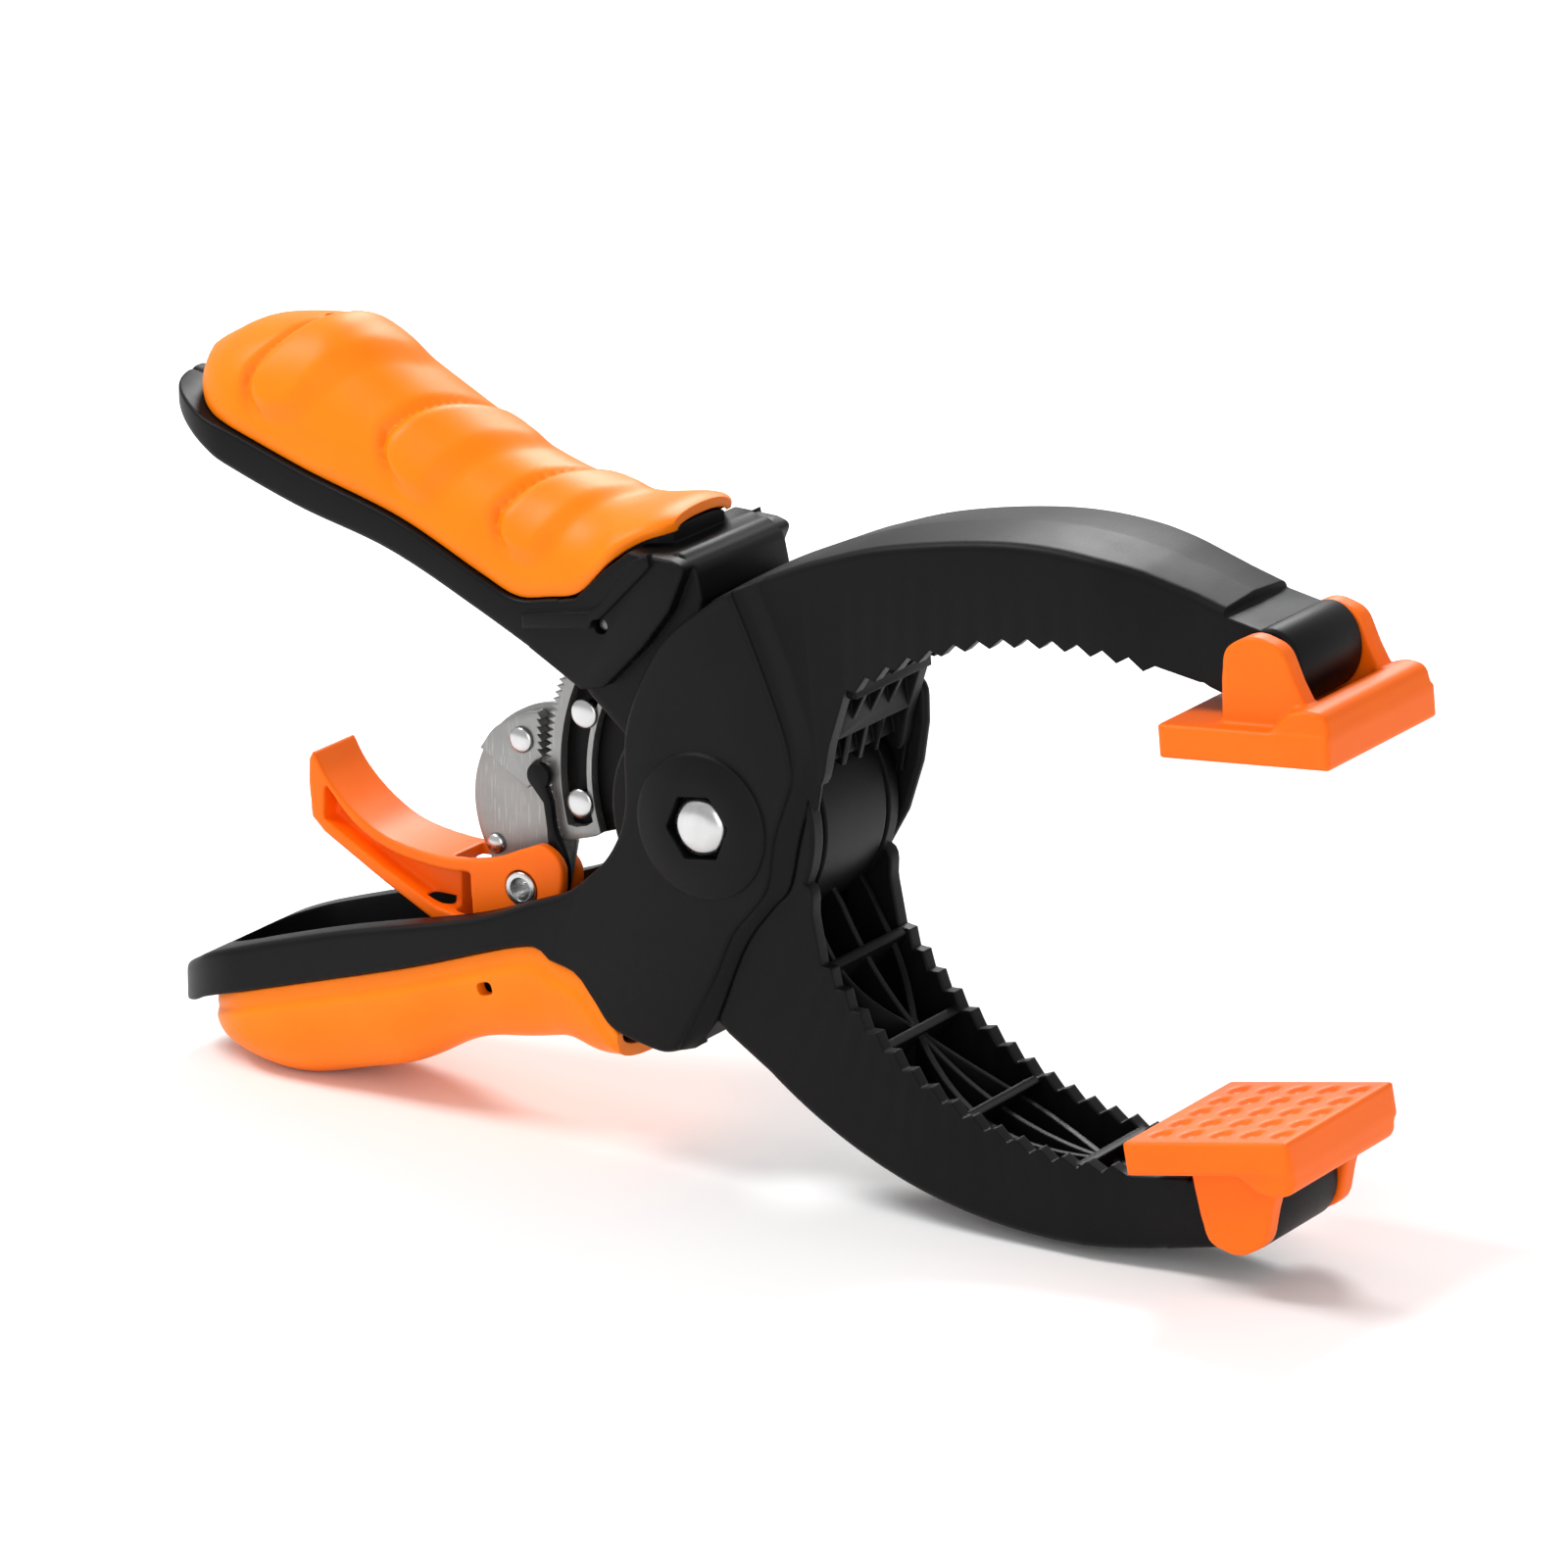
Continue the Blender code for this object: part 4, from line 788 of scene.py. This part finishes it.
def make_inner_arm():
    root = blended([
        jaw_row((-10, -25.5), (5, -8)),
        jaw_row((-4.5, -31.0), (18.4, -7.5)),
        jaw_row((2.6, -37.4), (20.0, -13.5)),
    ], 6)
    teeth = toothed_rows(lower_spine, (11, 84), (73.2, 16.6), 62.5, (215.5, 274.5), 15)
    root = root + between(root[-1], teeth[0], 4)[1:]
    end = np.array(jaw_row((89.5, lower_spine(89.5)), (90.0, -45.6)))
    tip = between(teeth[-1], end, 5)[1:] + [end]
    jaw = skin([*root, *teeth, *tip])
    x, z = LOWER_PIN
    neck = [(86, -47.5), (86, lower_spine(86) + 0.6), (93, lower_spine(93) + 0.5),
            (x - 1, z - 7.0, 3), (x + 4, z - 4.6, 3), (x + 5.2, z, 3), (x + 3, z + 5.2, 3),
            (x - 2, z + 6.2, 3), (90, -45.8)]
    adds = [slab(rounded(neck), -10.0, 10.0, 0.7, 3),
            slab([(x + 5.6 * math.cos(a), z + 7.2 * math.sin(a))
                  for a in np.linspace(0, math.tau, 48, endpoint=False)], -9.98, 9.98, 0.7, 3)]
    barrel = [(0, -13.5), (19.4, -13.5), (20, -12.9), (20, -10.4), (19.1, -10.1), (19.1, -9.3),
              (20, -9.0), (20, 9.0), (19.1, 9.3), (19.1, 10.1), (20, 10.4), (20, 12.9),
              (19.4, 13.5), (0, 13.5)]
    adds.append(turned(barrel, 0, 0, 128))
    places = [((10, -43), (22.5, -21.5)), ((22, -50), (33, -33.5)), ((41, -57), (49, -42.5)),
              ((68, -62), (70, -47))]
    adds += [wall_across(a, b, jaw_half(a[0]) - JAW_WALL + 1.0) for a, b in places]
    first, second, start, stop = 31.6, 69.1, 13.0, 88.0
    for side in (-1.0, 0.0, 1.0):
        path = []
        for px in np.linspace(start, stop, 60):
            if px < first:
                y = side * (8.6 * math.sin(math.pi / 2 * min(1, (first - px) / 12)))
            elif px < second:
                y = side * 6.4 * math.sin(math.pi * (px - first) / (second - first))
            else:
                y = side * 5.5 * (px - second) / (stop - second)
            top = lower_edge(max(px, 17.0)) - 3.6
            if px < 17.0:
                top = lower_edge(17.0) - 3.6 + (17.0 - px) * 1.2
            path.append((px, y, top, lower_spine(px) + 1.2))
        adds.append(wall_along(path))
    block = [(-1.2, 15), (-1.6, 37.8, 2), (-2.8, 43.0, 2.6), (-6.2, 45.2, 2.2), (-20, 42.2, 1),
             (-26, 39.0), (-34, 36.6), (-34, 26.5), (-28.6, 22.6), (-24, 17.5), (-15, 10)]
    adds.append(slab(rounded(block), -INNER_HALF, INNER_HALF, 0.9, 3))
    flank = [(-3.2, 43.8, 1.4), (-6.6, 35.6, 2), (-11.6, 28.9, 3), (-19.4, 20.6, 2),
             (-24.0, 19.4, 1), (-34.5, 25.0), (-34.5, 32.8), (-31.5, 33.5, 1), (-25.2, 35.0, 1),
             (-19.4, 40.8, 1), (-14.4, 44.8, 1), (-6.2, 44.6, 1)]
    adds.append(slab(rounded(flank), -CHEEK_OUT, CHEEK_OUT, 0.8, 3))
    ridge = [(-35.1, 31.1), (-21.7, 33.7, 1), (-19.5, 35.2, 1), (-13.1, 43.6, 1), (-10.1, 45.2),
             (-9.6, 43.2), (-10.9, 41.7, 1), (-18.3, 33.9, 2), (-21.7, 30.5, 1), (-35.1, 28.5)]
    for side in (-1, 1):
        low, high = sorted((side * 15.2, side * 17.3))
        adds.append(slab(rounded(ridge), low, high, 0.45, 3))
    rows = []
    half = GRIP_HALF - GRIP_WALL - GAP - 0.35
    for px in (-32.7, -28.3, -22.4, -17, -11):
        end_z = UPPER_CROWN(px) - GRIP_WALL - GAP - 0.2
        here = min(half, float(np.interp(px, (-18, -11), (half, 7.4))))
        run = [(here, 36.7)] + bowl(here, UPPER_BAND(px) - GAP, end_z, 12, 2.3)
        rows.append([(px, y, pz) for y, pz in both_sides(run)])
    adds.append(skin(rows))
    hollow = [(-8, 23), (-6.5, 34), (-9, 41.0), (-22, 40.5), (-36, 43.5), (-44, 46),
              (-44, 26), (-30, 18), (-22, 12)]
    arm = carve(jaw, adds, [slab(hollow, -10.9, 10.9)])
    places = stations(-113.6, -28.6, 80)
    handle = handle_skin(places, UPPER_RIM, UPPER_BAND, UPPER_CROWN, (-97, 17), (-94, 15.1), 2.3)
    web = [polar(12, 200)] + arc(38.5, 200, 134, 40) + [(-20, 43), (-8, 42), (-4, 20)]
    ring = carve(rod(0, 0, -14.5, -3.8, 11.3, 80), (), [rod(0, 0, -16, -2, 7.9, 64)])
    leg_room = arc(11.2, -38, 38, 24) + arc(8.0, 38, -38, 24)
    cuts = [ring, rod(0, 0, -20, 20, 6.3, 64), slab(leg_room, -4.8, -0.1),
            rod(*LOWER_PIN, -12, 12, 1.9, 32), rod(*ROOT_PIN, -20, 20, 1.4, 24)]
    for node in ("rack_rivet_upper", "rack_rivet_lower"):
        cuts.append(rod(*middle(node), -1, 5, 1.8, 32))
    arm = carve(arm, [handle, slab(web, 0.4, 3.4, 0.3)], cuts)
    piece("inner_arm_shell", arm, "black_nylon", "inner", ["inner_arm"])


# ---------------------------------------------------------------- grips

def make_grips():
    places = stations(*LOWER_STATIONS, 130, 1.35)
    lower = grip_skin(places, LOWER_BAND, LOWER_BELLY, (-94, 14.5), 3.0, lower_swell, 3.0)
    slot = [(-46.0, -36.3, 1.0), (-43.0, -35.3, 1.0), (-42.5, -37.6, 1.0), (-45.5, -38.6, 1.0)]
    lower = carve(lower, (), [slab(rounded(slot), -20, -12)])
    piece("lower_grip_sleeve", lower, "orange_grip", "outer", ["lower_grip"])
    places = stations(*UPPER_STATIONS, 150, 1.35)
    upper = grip_skin(places, UPPER_BAND, UPPER_CROWN, (-94, 15.1), 2.3, upper_swell, 4.0)
    hole = bmesh.new()
    bmesh.ops.create_cone(hole, cap_ends=True, segments=32, radius1=1.6, radius2=1.6, depth=8,
                          matrix=Matrix.Translation((-84, 0, 72)) @ Matrix.Diagonal((1.6, 1, 1, 1)))
    upper = carve(upper, (), [hole])
    piece("upper_grip_sleeve", upper, "orange_grip", "inner", ["upper_grip"])


# ---------------------------------------------------------------- pads

def make_pad(name, node, pin, tilt, facing, body):
    """A swivel pad: plate, raised shoulder at the tip end, and two ears round the jaw's tongue."""
    left, right, back, face = -17.1, 13.9, 7.6, 13.3
    plate = slab([(left, face), (left, back), (right, back), (right, face)], -17.6, 17.6, 0.5)
    shoulder = rounded([(2.0, 8.6), (4.0, 6.6, 1.5), (6.6, 4.4, 1.8), (9.6, 3.7, 2.4), (13.2, 4.2, 3.2),
                        (14.0, 8.4, 1.5), (13.9, 12.4)], 5)
    ear = rounded([(-8.2, 9.6), (-7.1, 6.6, 2), (-6.8, 1.0, 3), (-6.0, -4.8, 3.6), (-0.6, -7.2, 4.6),
                   (4.8, -5.2, 4.2), (6.8, 0.4, 5), (8.8, 4.6, 4), (12.4, 5.4, 3), (13.2, 9.6)], 5)
    adds = [slab(shoulder, -17.0, 17.0, 0.9, 3)]
    for low, high in ((-14.2, -10.3), (10.3, 14.2)):
        adds.append(slab(ear, low, high, 0.6))
    adds.append(slab(rounded([(6.2, 6.5), (6.4, 3.6, 2), (9.5, 5.2, 2), (13, 8)], 4), -15.6, 15.6, 0.8))
    pad = carve(plate, adds)
    cuts = [rod(0, 0, -13, 13, 1.9, 32)]
    trough = rounded([(-7.6, -8), (-7.6, 7.4, 1.2), (7.2, 7.4, 1.2), (8.4, -8)], 4)
    cuts.append(slab(trough, -10.3, 10.3))
    for along in (-12.6, -6.9, -1.2, 4.5, 10.2):
        for column in range(5):
            across = -12.4 + 6.2 * column
            dent = bmesh.new()
            place = Matrix.Translation((along, across, face + 0.5)) @ Matrix.Diagonal((1.9, 2.5, 1.5, 1))
            bmesh.ops.create_uvsphere(dent, u_segments=20, v_segments=12, radius=1.0, matrix=place)
            cuts.append(dent)
    pad = carve(pad, (), cuts)
    pad = softened(pad, 0.36, 4)
    turn = math.radians(tilt)
    flip = Matrix.Diagonal((1, 1, facing, 1))
    place = Matrix.Translation((pin[0], 0, pin[1])) @ Matrix.Rotation(-turn, 4, "Y") @ flip
    bmesh.ops.transform(pad, matrix=place, verts=pad.verts)
    piece(name, pad, "orange_plastic", body, [node], sharp=0)


# ---------------------------------------------------------------- release lever and ratchet

def make_lever():
    top = curve([(-86.6, -4.8), (-83.6, -9.4), (-78.2, -14.2), (-71, -17.7), (-60, -19.0),
                 (-50.5, -17.8), (-43.5, -14.9)], 8)
    hub = curve([(-43.5, -14.9), (-39.0, -13.4), (-35.2, -16.4), (-35.6, -22.5), (-40, -28.6)], 8)
    under = [(-52, -33.4), (-61.5, -30.9), (-72, -25.7), (-84.4, -19.0), (-87.0, -16.6),
             (-87.6, -10.0), (-87.4, -6.2)]
    blade = slab([*top, *hub[1:], *under], -6.2, 6.2, 0.8, 3)
    pocket = curve([(-84.2, -10.2), (-77.6, -16.6), (-70, -20.0), (-60, -21.2), (-54, -20.8)], 6)
    pocket = list(pocket) + [(-53.4, -29.6), (-61.2, -28.2), (-72, -23.2), (-84.4, -16.6)]
    cuts = [slab(pocket, 2.2, 9), slab(pocket, -9, -2.2)]
    fork = [(-58.4, -10), (-30, -10), (-30, -40), (-58.4, -40)]
    far_side = arc(4.6, 100, -60, 16, LEVER_PIN) + [(-34, -32), (-30, -32), (-30, -10)]
    cuts += [slab(fork, -4.2, 4.2), slab(far_side, 0, 9)]
    lever = softened(carve(blade, (), cuts), 0.3, 3)
    spring_room = bmesh.new()
    bmesh.ops.create_cone(spring_room, cap_ends=True, segments=48, radius1=4.6, radius2=4.6, depth=20,
                          matrix=Matrix.Translation((-63.6, 0, -37.0)))
    lever = carve(lever, (), [rod(*LEVER_PIN, -9, 9, 3.3, 48), spring_room])
    piece("lever_blade", lever, "orange_plastic", "lever", ["release_lever"])

    head = arc(2.3, 235, -45, 28, (-41.4, -2.0))
    arm = [(-38.7, -6.4), (-37.9, -11.4), (-35.6, -16.4), (-36.4, -24.0), (-42, -27.6),
           (-48.0, -25.0), (-48.6, -20), (-44.6, -16.2), (-40.0, -14.6), (-39.6, -11.8), (-40.3, -6.6)]
    finger = slab(list(map(tuple, head)) + [tuple(p) for p in curve(arm, 5)], -3.9, -2.4, 0.3)
    finger = carve(finger, (), [rod(*LEVER_PIN, -9, 0, 3.3, 48)])
    piece("finger_spring_arm", finger, "black_nylon", "lever", ["release_finger"])


def make_ratchet():
    span, teeth = 49.5, 28
    outline = []
    for i in range(teeth):
        start = 150.0 + span * i / teeth
        outline.append(polar(39.9, start))
        outline.append(polar(41.2, start + 0.75 * span / teeth))
    outline.append(polar(39.9, 199.5))
    outline += [polar(35, 200.0), polar(33, 200.1)]
    outline += arc(31.7, 199.5, 150.0, 48)
    window = arc(38.0, 154.2, 195.7, 40) + [polar(36.4, 196.6), polar(34.2, 196.6)]
    window += arc(32.7, 195.7, 154.2, 40) + [polar(34.2, 153.2), polar(36.4, 153.2)]
    rack = carve(slab(outline, -1.9, 0.1, 0.14), (), [slab(window, -4, 4)])
    piece("ratchet_rail", rack, "stamped_steel", "inner", ["ratchet_rack"])

    plate = arc(19.0, 97, 214, 60, (-38.5, -9.0))
    plate += [(-54.0, -25), (-51, -42.0), (-40, -40.0), (-39, -24)] + arc(39.6, 201, 165, 30)
    cuts = [rod(*LEVER_PIN, 0, 3, 3.3, 48), rod(*PAWL_PIN, 0, 3, 1.8, 32),
            rod(*middle("plate_rivet"), 0, 3, 1.5, 32)]
    plate = carve(slab(plate, 0.6, 2.2, 0.16), (), cuts)
    piece("ratchet_side_plate", plate, "stamped_steel", "outer", ["ratchet_plate"])

    back = curve([(-54.4, 0.4), (-51.4, 4.4), (-46.6, 7.4), (-43.0, 8.6)], 8)
    edge = []
    for i in range(6):
        start = 168.4 + 10.6 * i / 6
        lift = max(0.0, 0.16 * (polar(1, start)[1] * 41.6 - PAWL_PIN[1]))
        edge.append(polar(42.7 + lift, start))
        edge.append(polar(41.6 + lift, start + 0.75 * 10.6 / 6))
    pawl = [*back, *edge, *arc(3.2, 108, 212, 20, (-41.2, -2.6)), (-44.8, -5.2)]
    pawl = carve(slab(pawl, -2.1, 0.3, 0.14), (), [rod(*PAWL_PIN, -4, 2, 1.8, 32)])
    piece("pawl_wedge", pawl, "stamped_steel", "pawl_body", ["pawl"])


def rivet(name, node, head, shank, y_low, y_high, thick, body):
    """A rivet: domed head at its low end and a set tail at its high end."""
    profile = [(0, y_low - thick)]
    for a in (20, 40, 60, 75, 90):
        profile.append((head * math.sin(math.radians(a)),
                        y_low - thick * math.cos(math.radians(a)) * 0.92 - thick * 0.08))
    profile += [(head, y_low), (shank, y_low), (shank, y_high), (head * 0.78, y_high),
                (head * 0.8, y_high + 0.25), (head * 0.6, y_high + 0.5), (0, y_high + 0.5)]
    piece(name, turned(profile, *middle(node), 48), "bright_steel", body, [node])


# ---------------------------------------------------------------- pivot, pins and springs

def make_pivot():
    """The bolt with a low domed head, its six-sided nut and the bearing sleeve."""
    head = [(0, -17.9), (2.2, -17.86), (3.8, -17.55), (4.7, -17.05), (5.15, -16.4), (5.2, -15.7),
            (4.0, -15.7), (4.0, 15.1), (2.6, 15.1), (2.6, 17.1), (2.3, 17.4), (0, 17.4)]
    piece("pivot_bolt_turned", turned(head, 0, 0, 72), "bright_steel", "outer", ["pivot_bolt"])
    nut = bmesh.new()
    place = Matrix.Translation((0, 16.8, 0)) @ Matrix.Rotation(math.radians(-90), 4, "X")
    bmesh.ops.create_cone(nut, cap_ends=True, segments=6, radius1=5.2, radius2=5.2, depth=2.2,
                          matrix=place)
    bmesh.ops.bevel(nut, geom=list(nut.edges), offset=0.3, offset_type="OFFSET", segments=2,
                    profile=0.5, affect="EDGES", clamp_overlap=True, material=-1)
    nut = carve(nut, (), [rod(0, 0, 10, 20, 2.9, 48)])
    piece("pivot_nut_six", nut, "bright_steel", "outer", ["pivot_nut"])
    sleeve = carve(rod(0, 0, -13.5, 13.5, 6.0, 72, 0.4), (), [rod(0, 0, -20, 20, 4.3, 64)])
    piece("pivot_sleeve_tube", sleeve, "bright_steel", "outer", ["pivot_sleeve"])


def make_pins():
    tube = carve(rod(*LEVER_PIN, -6.6, 6.6, 3.0, 64, 0.25), (), [rod(*LEVER_PIN, -9, 9, 2.0, 48)])
    piece("lever_pin_tube", tube, "bright_steel", "outer", ["lever_pin"])
    piece("upper_pad_pin_rod", rod(*UPPER_PIN, -12.6, 12.6, 1.6, 40, 0.3), "bright_steel", "outer",
          ["upper_pad_pin"])
    piece("lower_pad_pin_rod", rod(*LOWER_PIN, -12.6, 12.6, 1.6, 40, 0.3), "bright_steel", "inner",
          ["lower_pad_pin"])
    piece("root_pin_rod", rod(*ROOT_PIN, -15.2, 15.2, 1.1, 32, 0.25), "spring_steel", "inner",
          ["root_pin"])
    rivet("rack_rivet_top", "rack_rivet_upper", 2.6, 1.5, -2.2, 3.5, 0.7, "inner")
    rivet("rack_rivet_low", "rack_rivet_lower", 2.6, 1.5, -2.2, 3.5, 0.7, "inner")
    rivet("side_plate_rivet", "plate_rivet", 1.8, 1.2, 0.3, 2.5, 0.8, "outer")
    rivet("pawl_rivet", "pawl_pin", 2.3, 1.5, -2.4, 2.5, 0.8, "outer")


def coil(name, points, wire, body, node):
    """A round wire bent along points."""
    rows = []
    points = np.array(points, float)
    for i, here in enumerate(points):
        ahead = Vector(points[min(i + 1, len(points) - 1)] - points[max(i - 1, 0)]).normalized()
        side = ahead.cross(Vector((0.31, 0.9, 0.27))).normalized()
        rise = ahead.cross(side)
        rows.append([tuple(Vector(here) + (side * math.cos(a) + rise * math.sin(a)) * wire / 2)
                     for a in np.linspace(0, math.tau, 12, endpoint=False)])
    piece(name, skin(rows), "spring_steel", body, [node])


def make_springs():
    turns = []
    for i in range(3 * 36 + 1):
        x, z = polar(9.6, 10 * i)
        turns.append((x, -12.2 + 7.0 * i / 108, z))
    points = [(9.6, -15.0, 0), (9.6, -13.6, 0.0)] + turns + [(9.6, -3.6, 0), (9.6, -0.6, 0)]
    coil("opening_spring_coil", points, 2.2, "outer", "opening_spring")
    points = []
    for i in range(5 * 24 + 1):
        x, y = polar(2.6, 15 * i)
        points.append((-62.0 + x, y, -47.2 + 12.4 * i / 120))
    coil("lever_spring_coil", points, 0.9, "outer", "lever_spring")


make_outer_arm()
make_inner_arm()
make_grips()
make_pad("upper_pad_block", "upper_pad", UPPER_PIN, 5.6, -1, "upper_pad_body")
make_pad("lower_pad_block", "lower_pad", LOWER_PIN, 11.1, 1, "lower_pad_body")
make_lever()
make_ratchet()
make_pivot()
make_pins()
make_springs()


# ---------------------------------------------------------------- stage, camera and lights

def make_floor():
    bm = bmesh.new()
    bmesh.ops.create_grid(bm, x_segments=1, y_segments=1, size=6.0)
    mesh = bpy.data.meshes.new("floor")
    bm.to_mesh(mesh)
    bm.free()
    floor = bpy.data.objects.new("floor", mesh)
    bpy.context.scene.collection.objects.link(floor)
    pale = Finish("pale_floor")
    pale.feed(Base_Color=pale.blend(pale.noise(200.0, 2.0), (0.93, 0.93, 0.93, 1), (0.95, 0.95, 0.95, 1)),
              Roughness=0.9)
    mesh.materials.append(pale.material)


def soft_light(name, place, target, size, watts):
    data = bpy.data.lights.new(name, "AREA")
    data.shape = "DISK"
    data.size = size
    data.energy = watts
    light = bpy.data.objects.new(name, data)
    light.location = place
    light.rotation_euler = (Vector(target) - Vector(place)).to_track_quat("-Z", "Y").to_euler()
    bpy.context.scene.collection.objects.link(light)


def make_studio():
    make_floor()
    world = bpy.data.worlds.new("studio")
    world.use_nodes = True
    sky = world.node_tree.nodes["Background"]
    sky.inputs["Color"].default_value = (1, 1, 1, 1)
    sky.inputs["Strength"].default_value = 0.62
    bpy.context.scene.world = world
    target = (0.0, 0.0, 0.06)
    soft_light("key", (-0.55, -0.35, 0.95), target, 0.45, 8)
    soft_light("back_rim", (-0.35, 0.75, 0.7), target, 0.35, 7)
    soft_light("front_fill", (0.7, -1.0, 0.45), target, 0.9, 4)


def make_camera():
    turn, rise = math.radians(33.0), math.radians(18.0)
    right = Vector((math.cos(turn), math.sin(turn), 0))
    back = Vector((math.sin(turn) * math.cos(rise), -math.cos(turn) * math.cos(rise), math.sin(rise)))
    up = back.cross(right)
    data = bpy.data.cameras.new("camera")
    data.lens = 200.0
    data.sensor_width = 36.0
    camera = bpy.data.objects.new("camera", data)
    bpy.context.scene.collection.objects.link(camera)
    camera.location = PIVOT + back * 1.4489 + right * 0.004727 + up * 0.002771
    camera.rotation_euler = Matrix((right, up, back)).transposed().to_euler()
    bpy.context.scene.camera = camera


make_studio()
make_camera()
bpy.context.scene.view_settings.view_transform = "Standard"  # keeps the oranges saturated
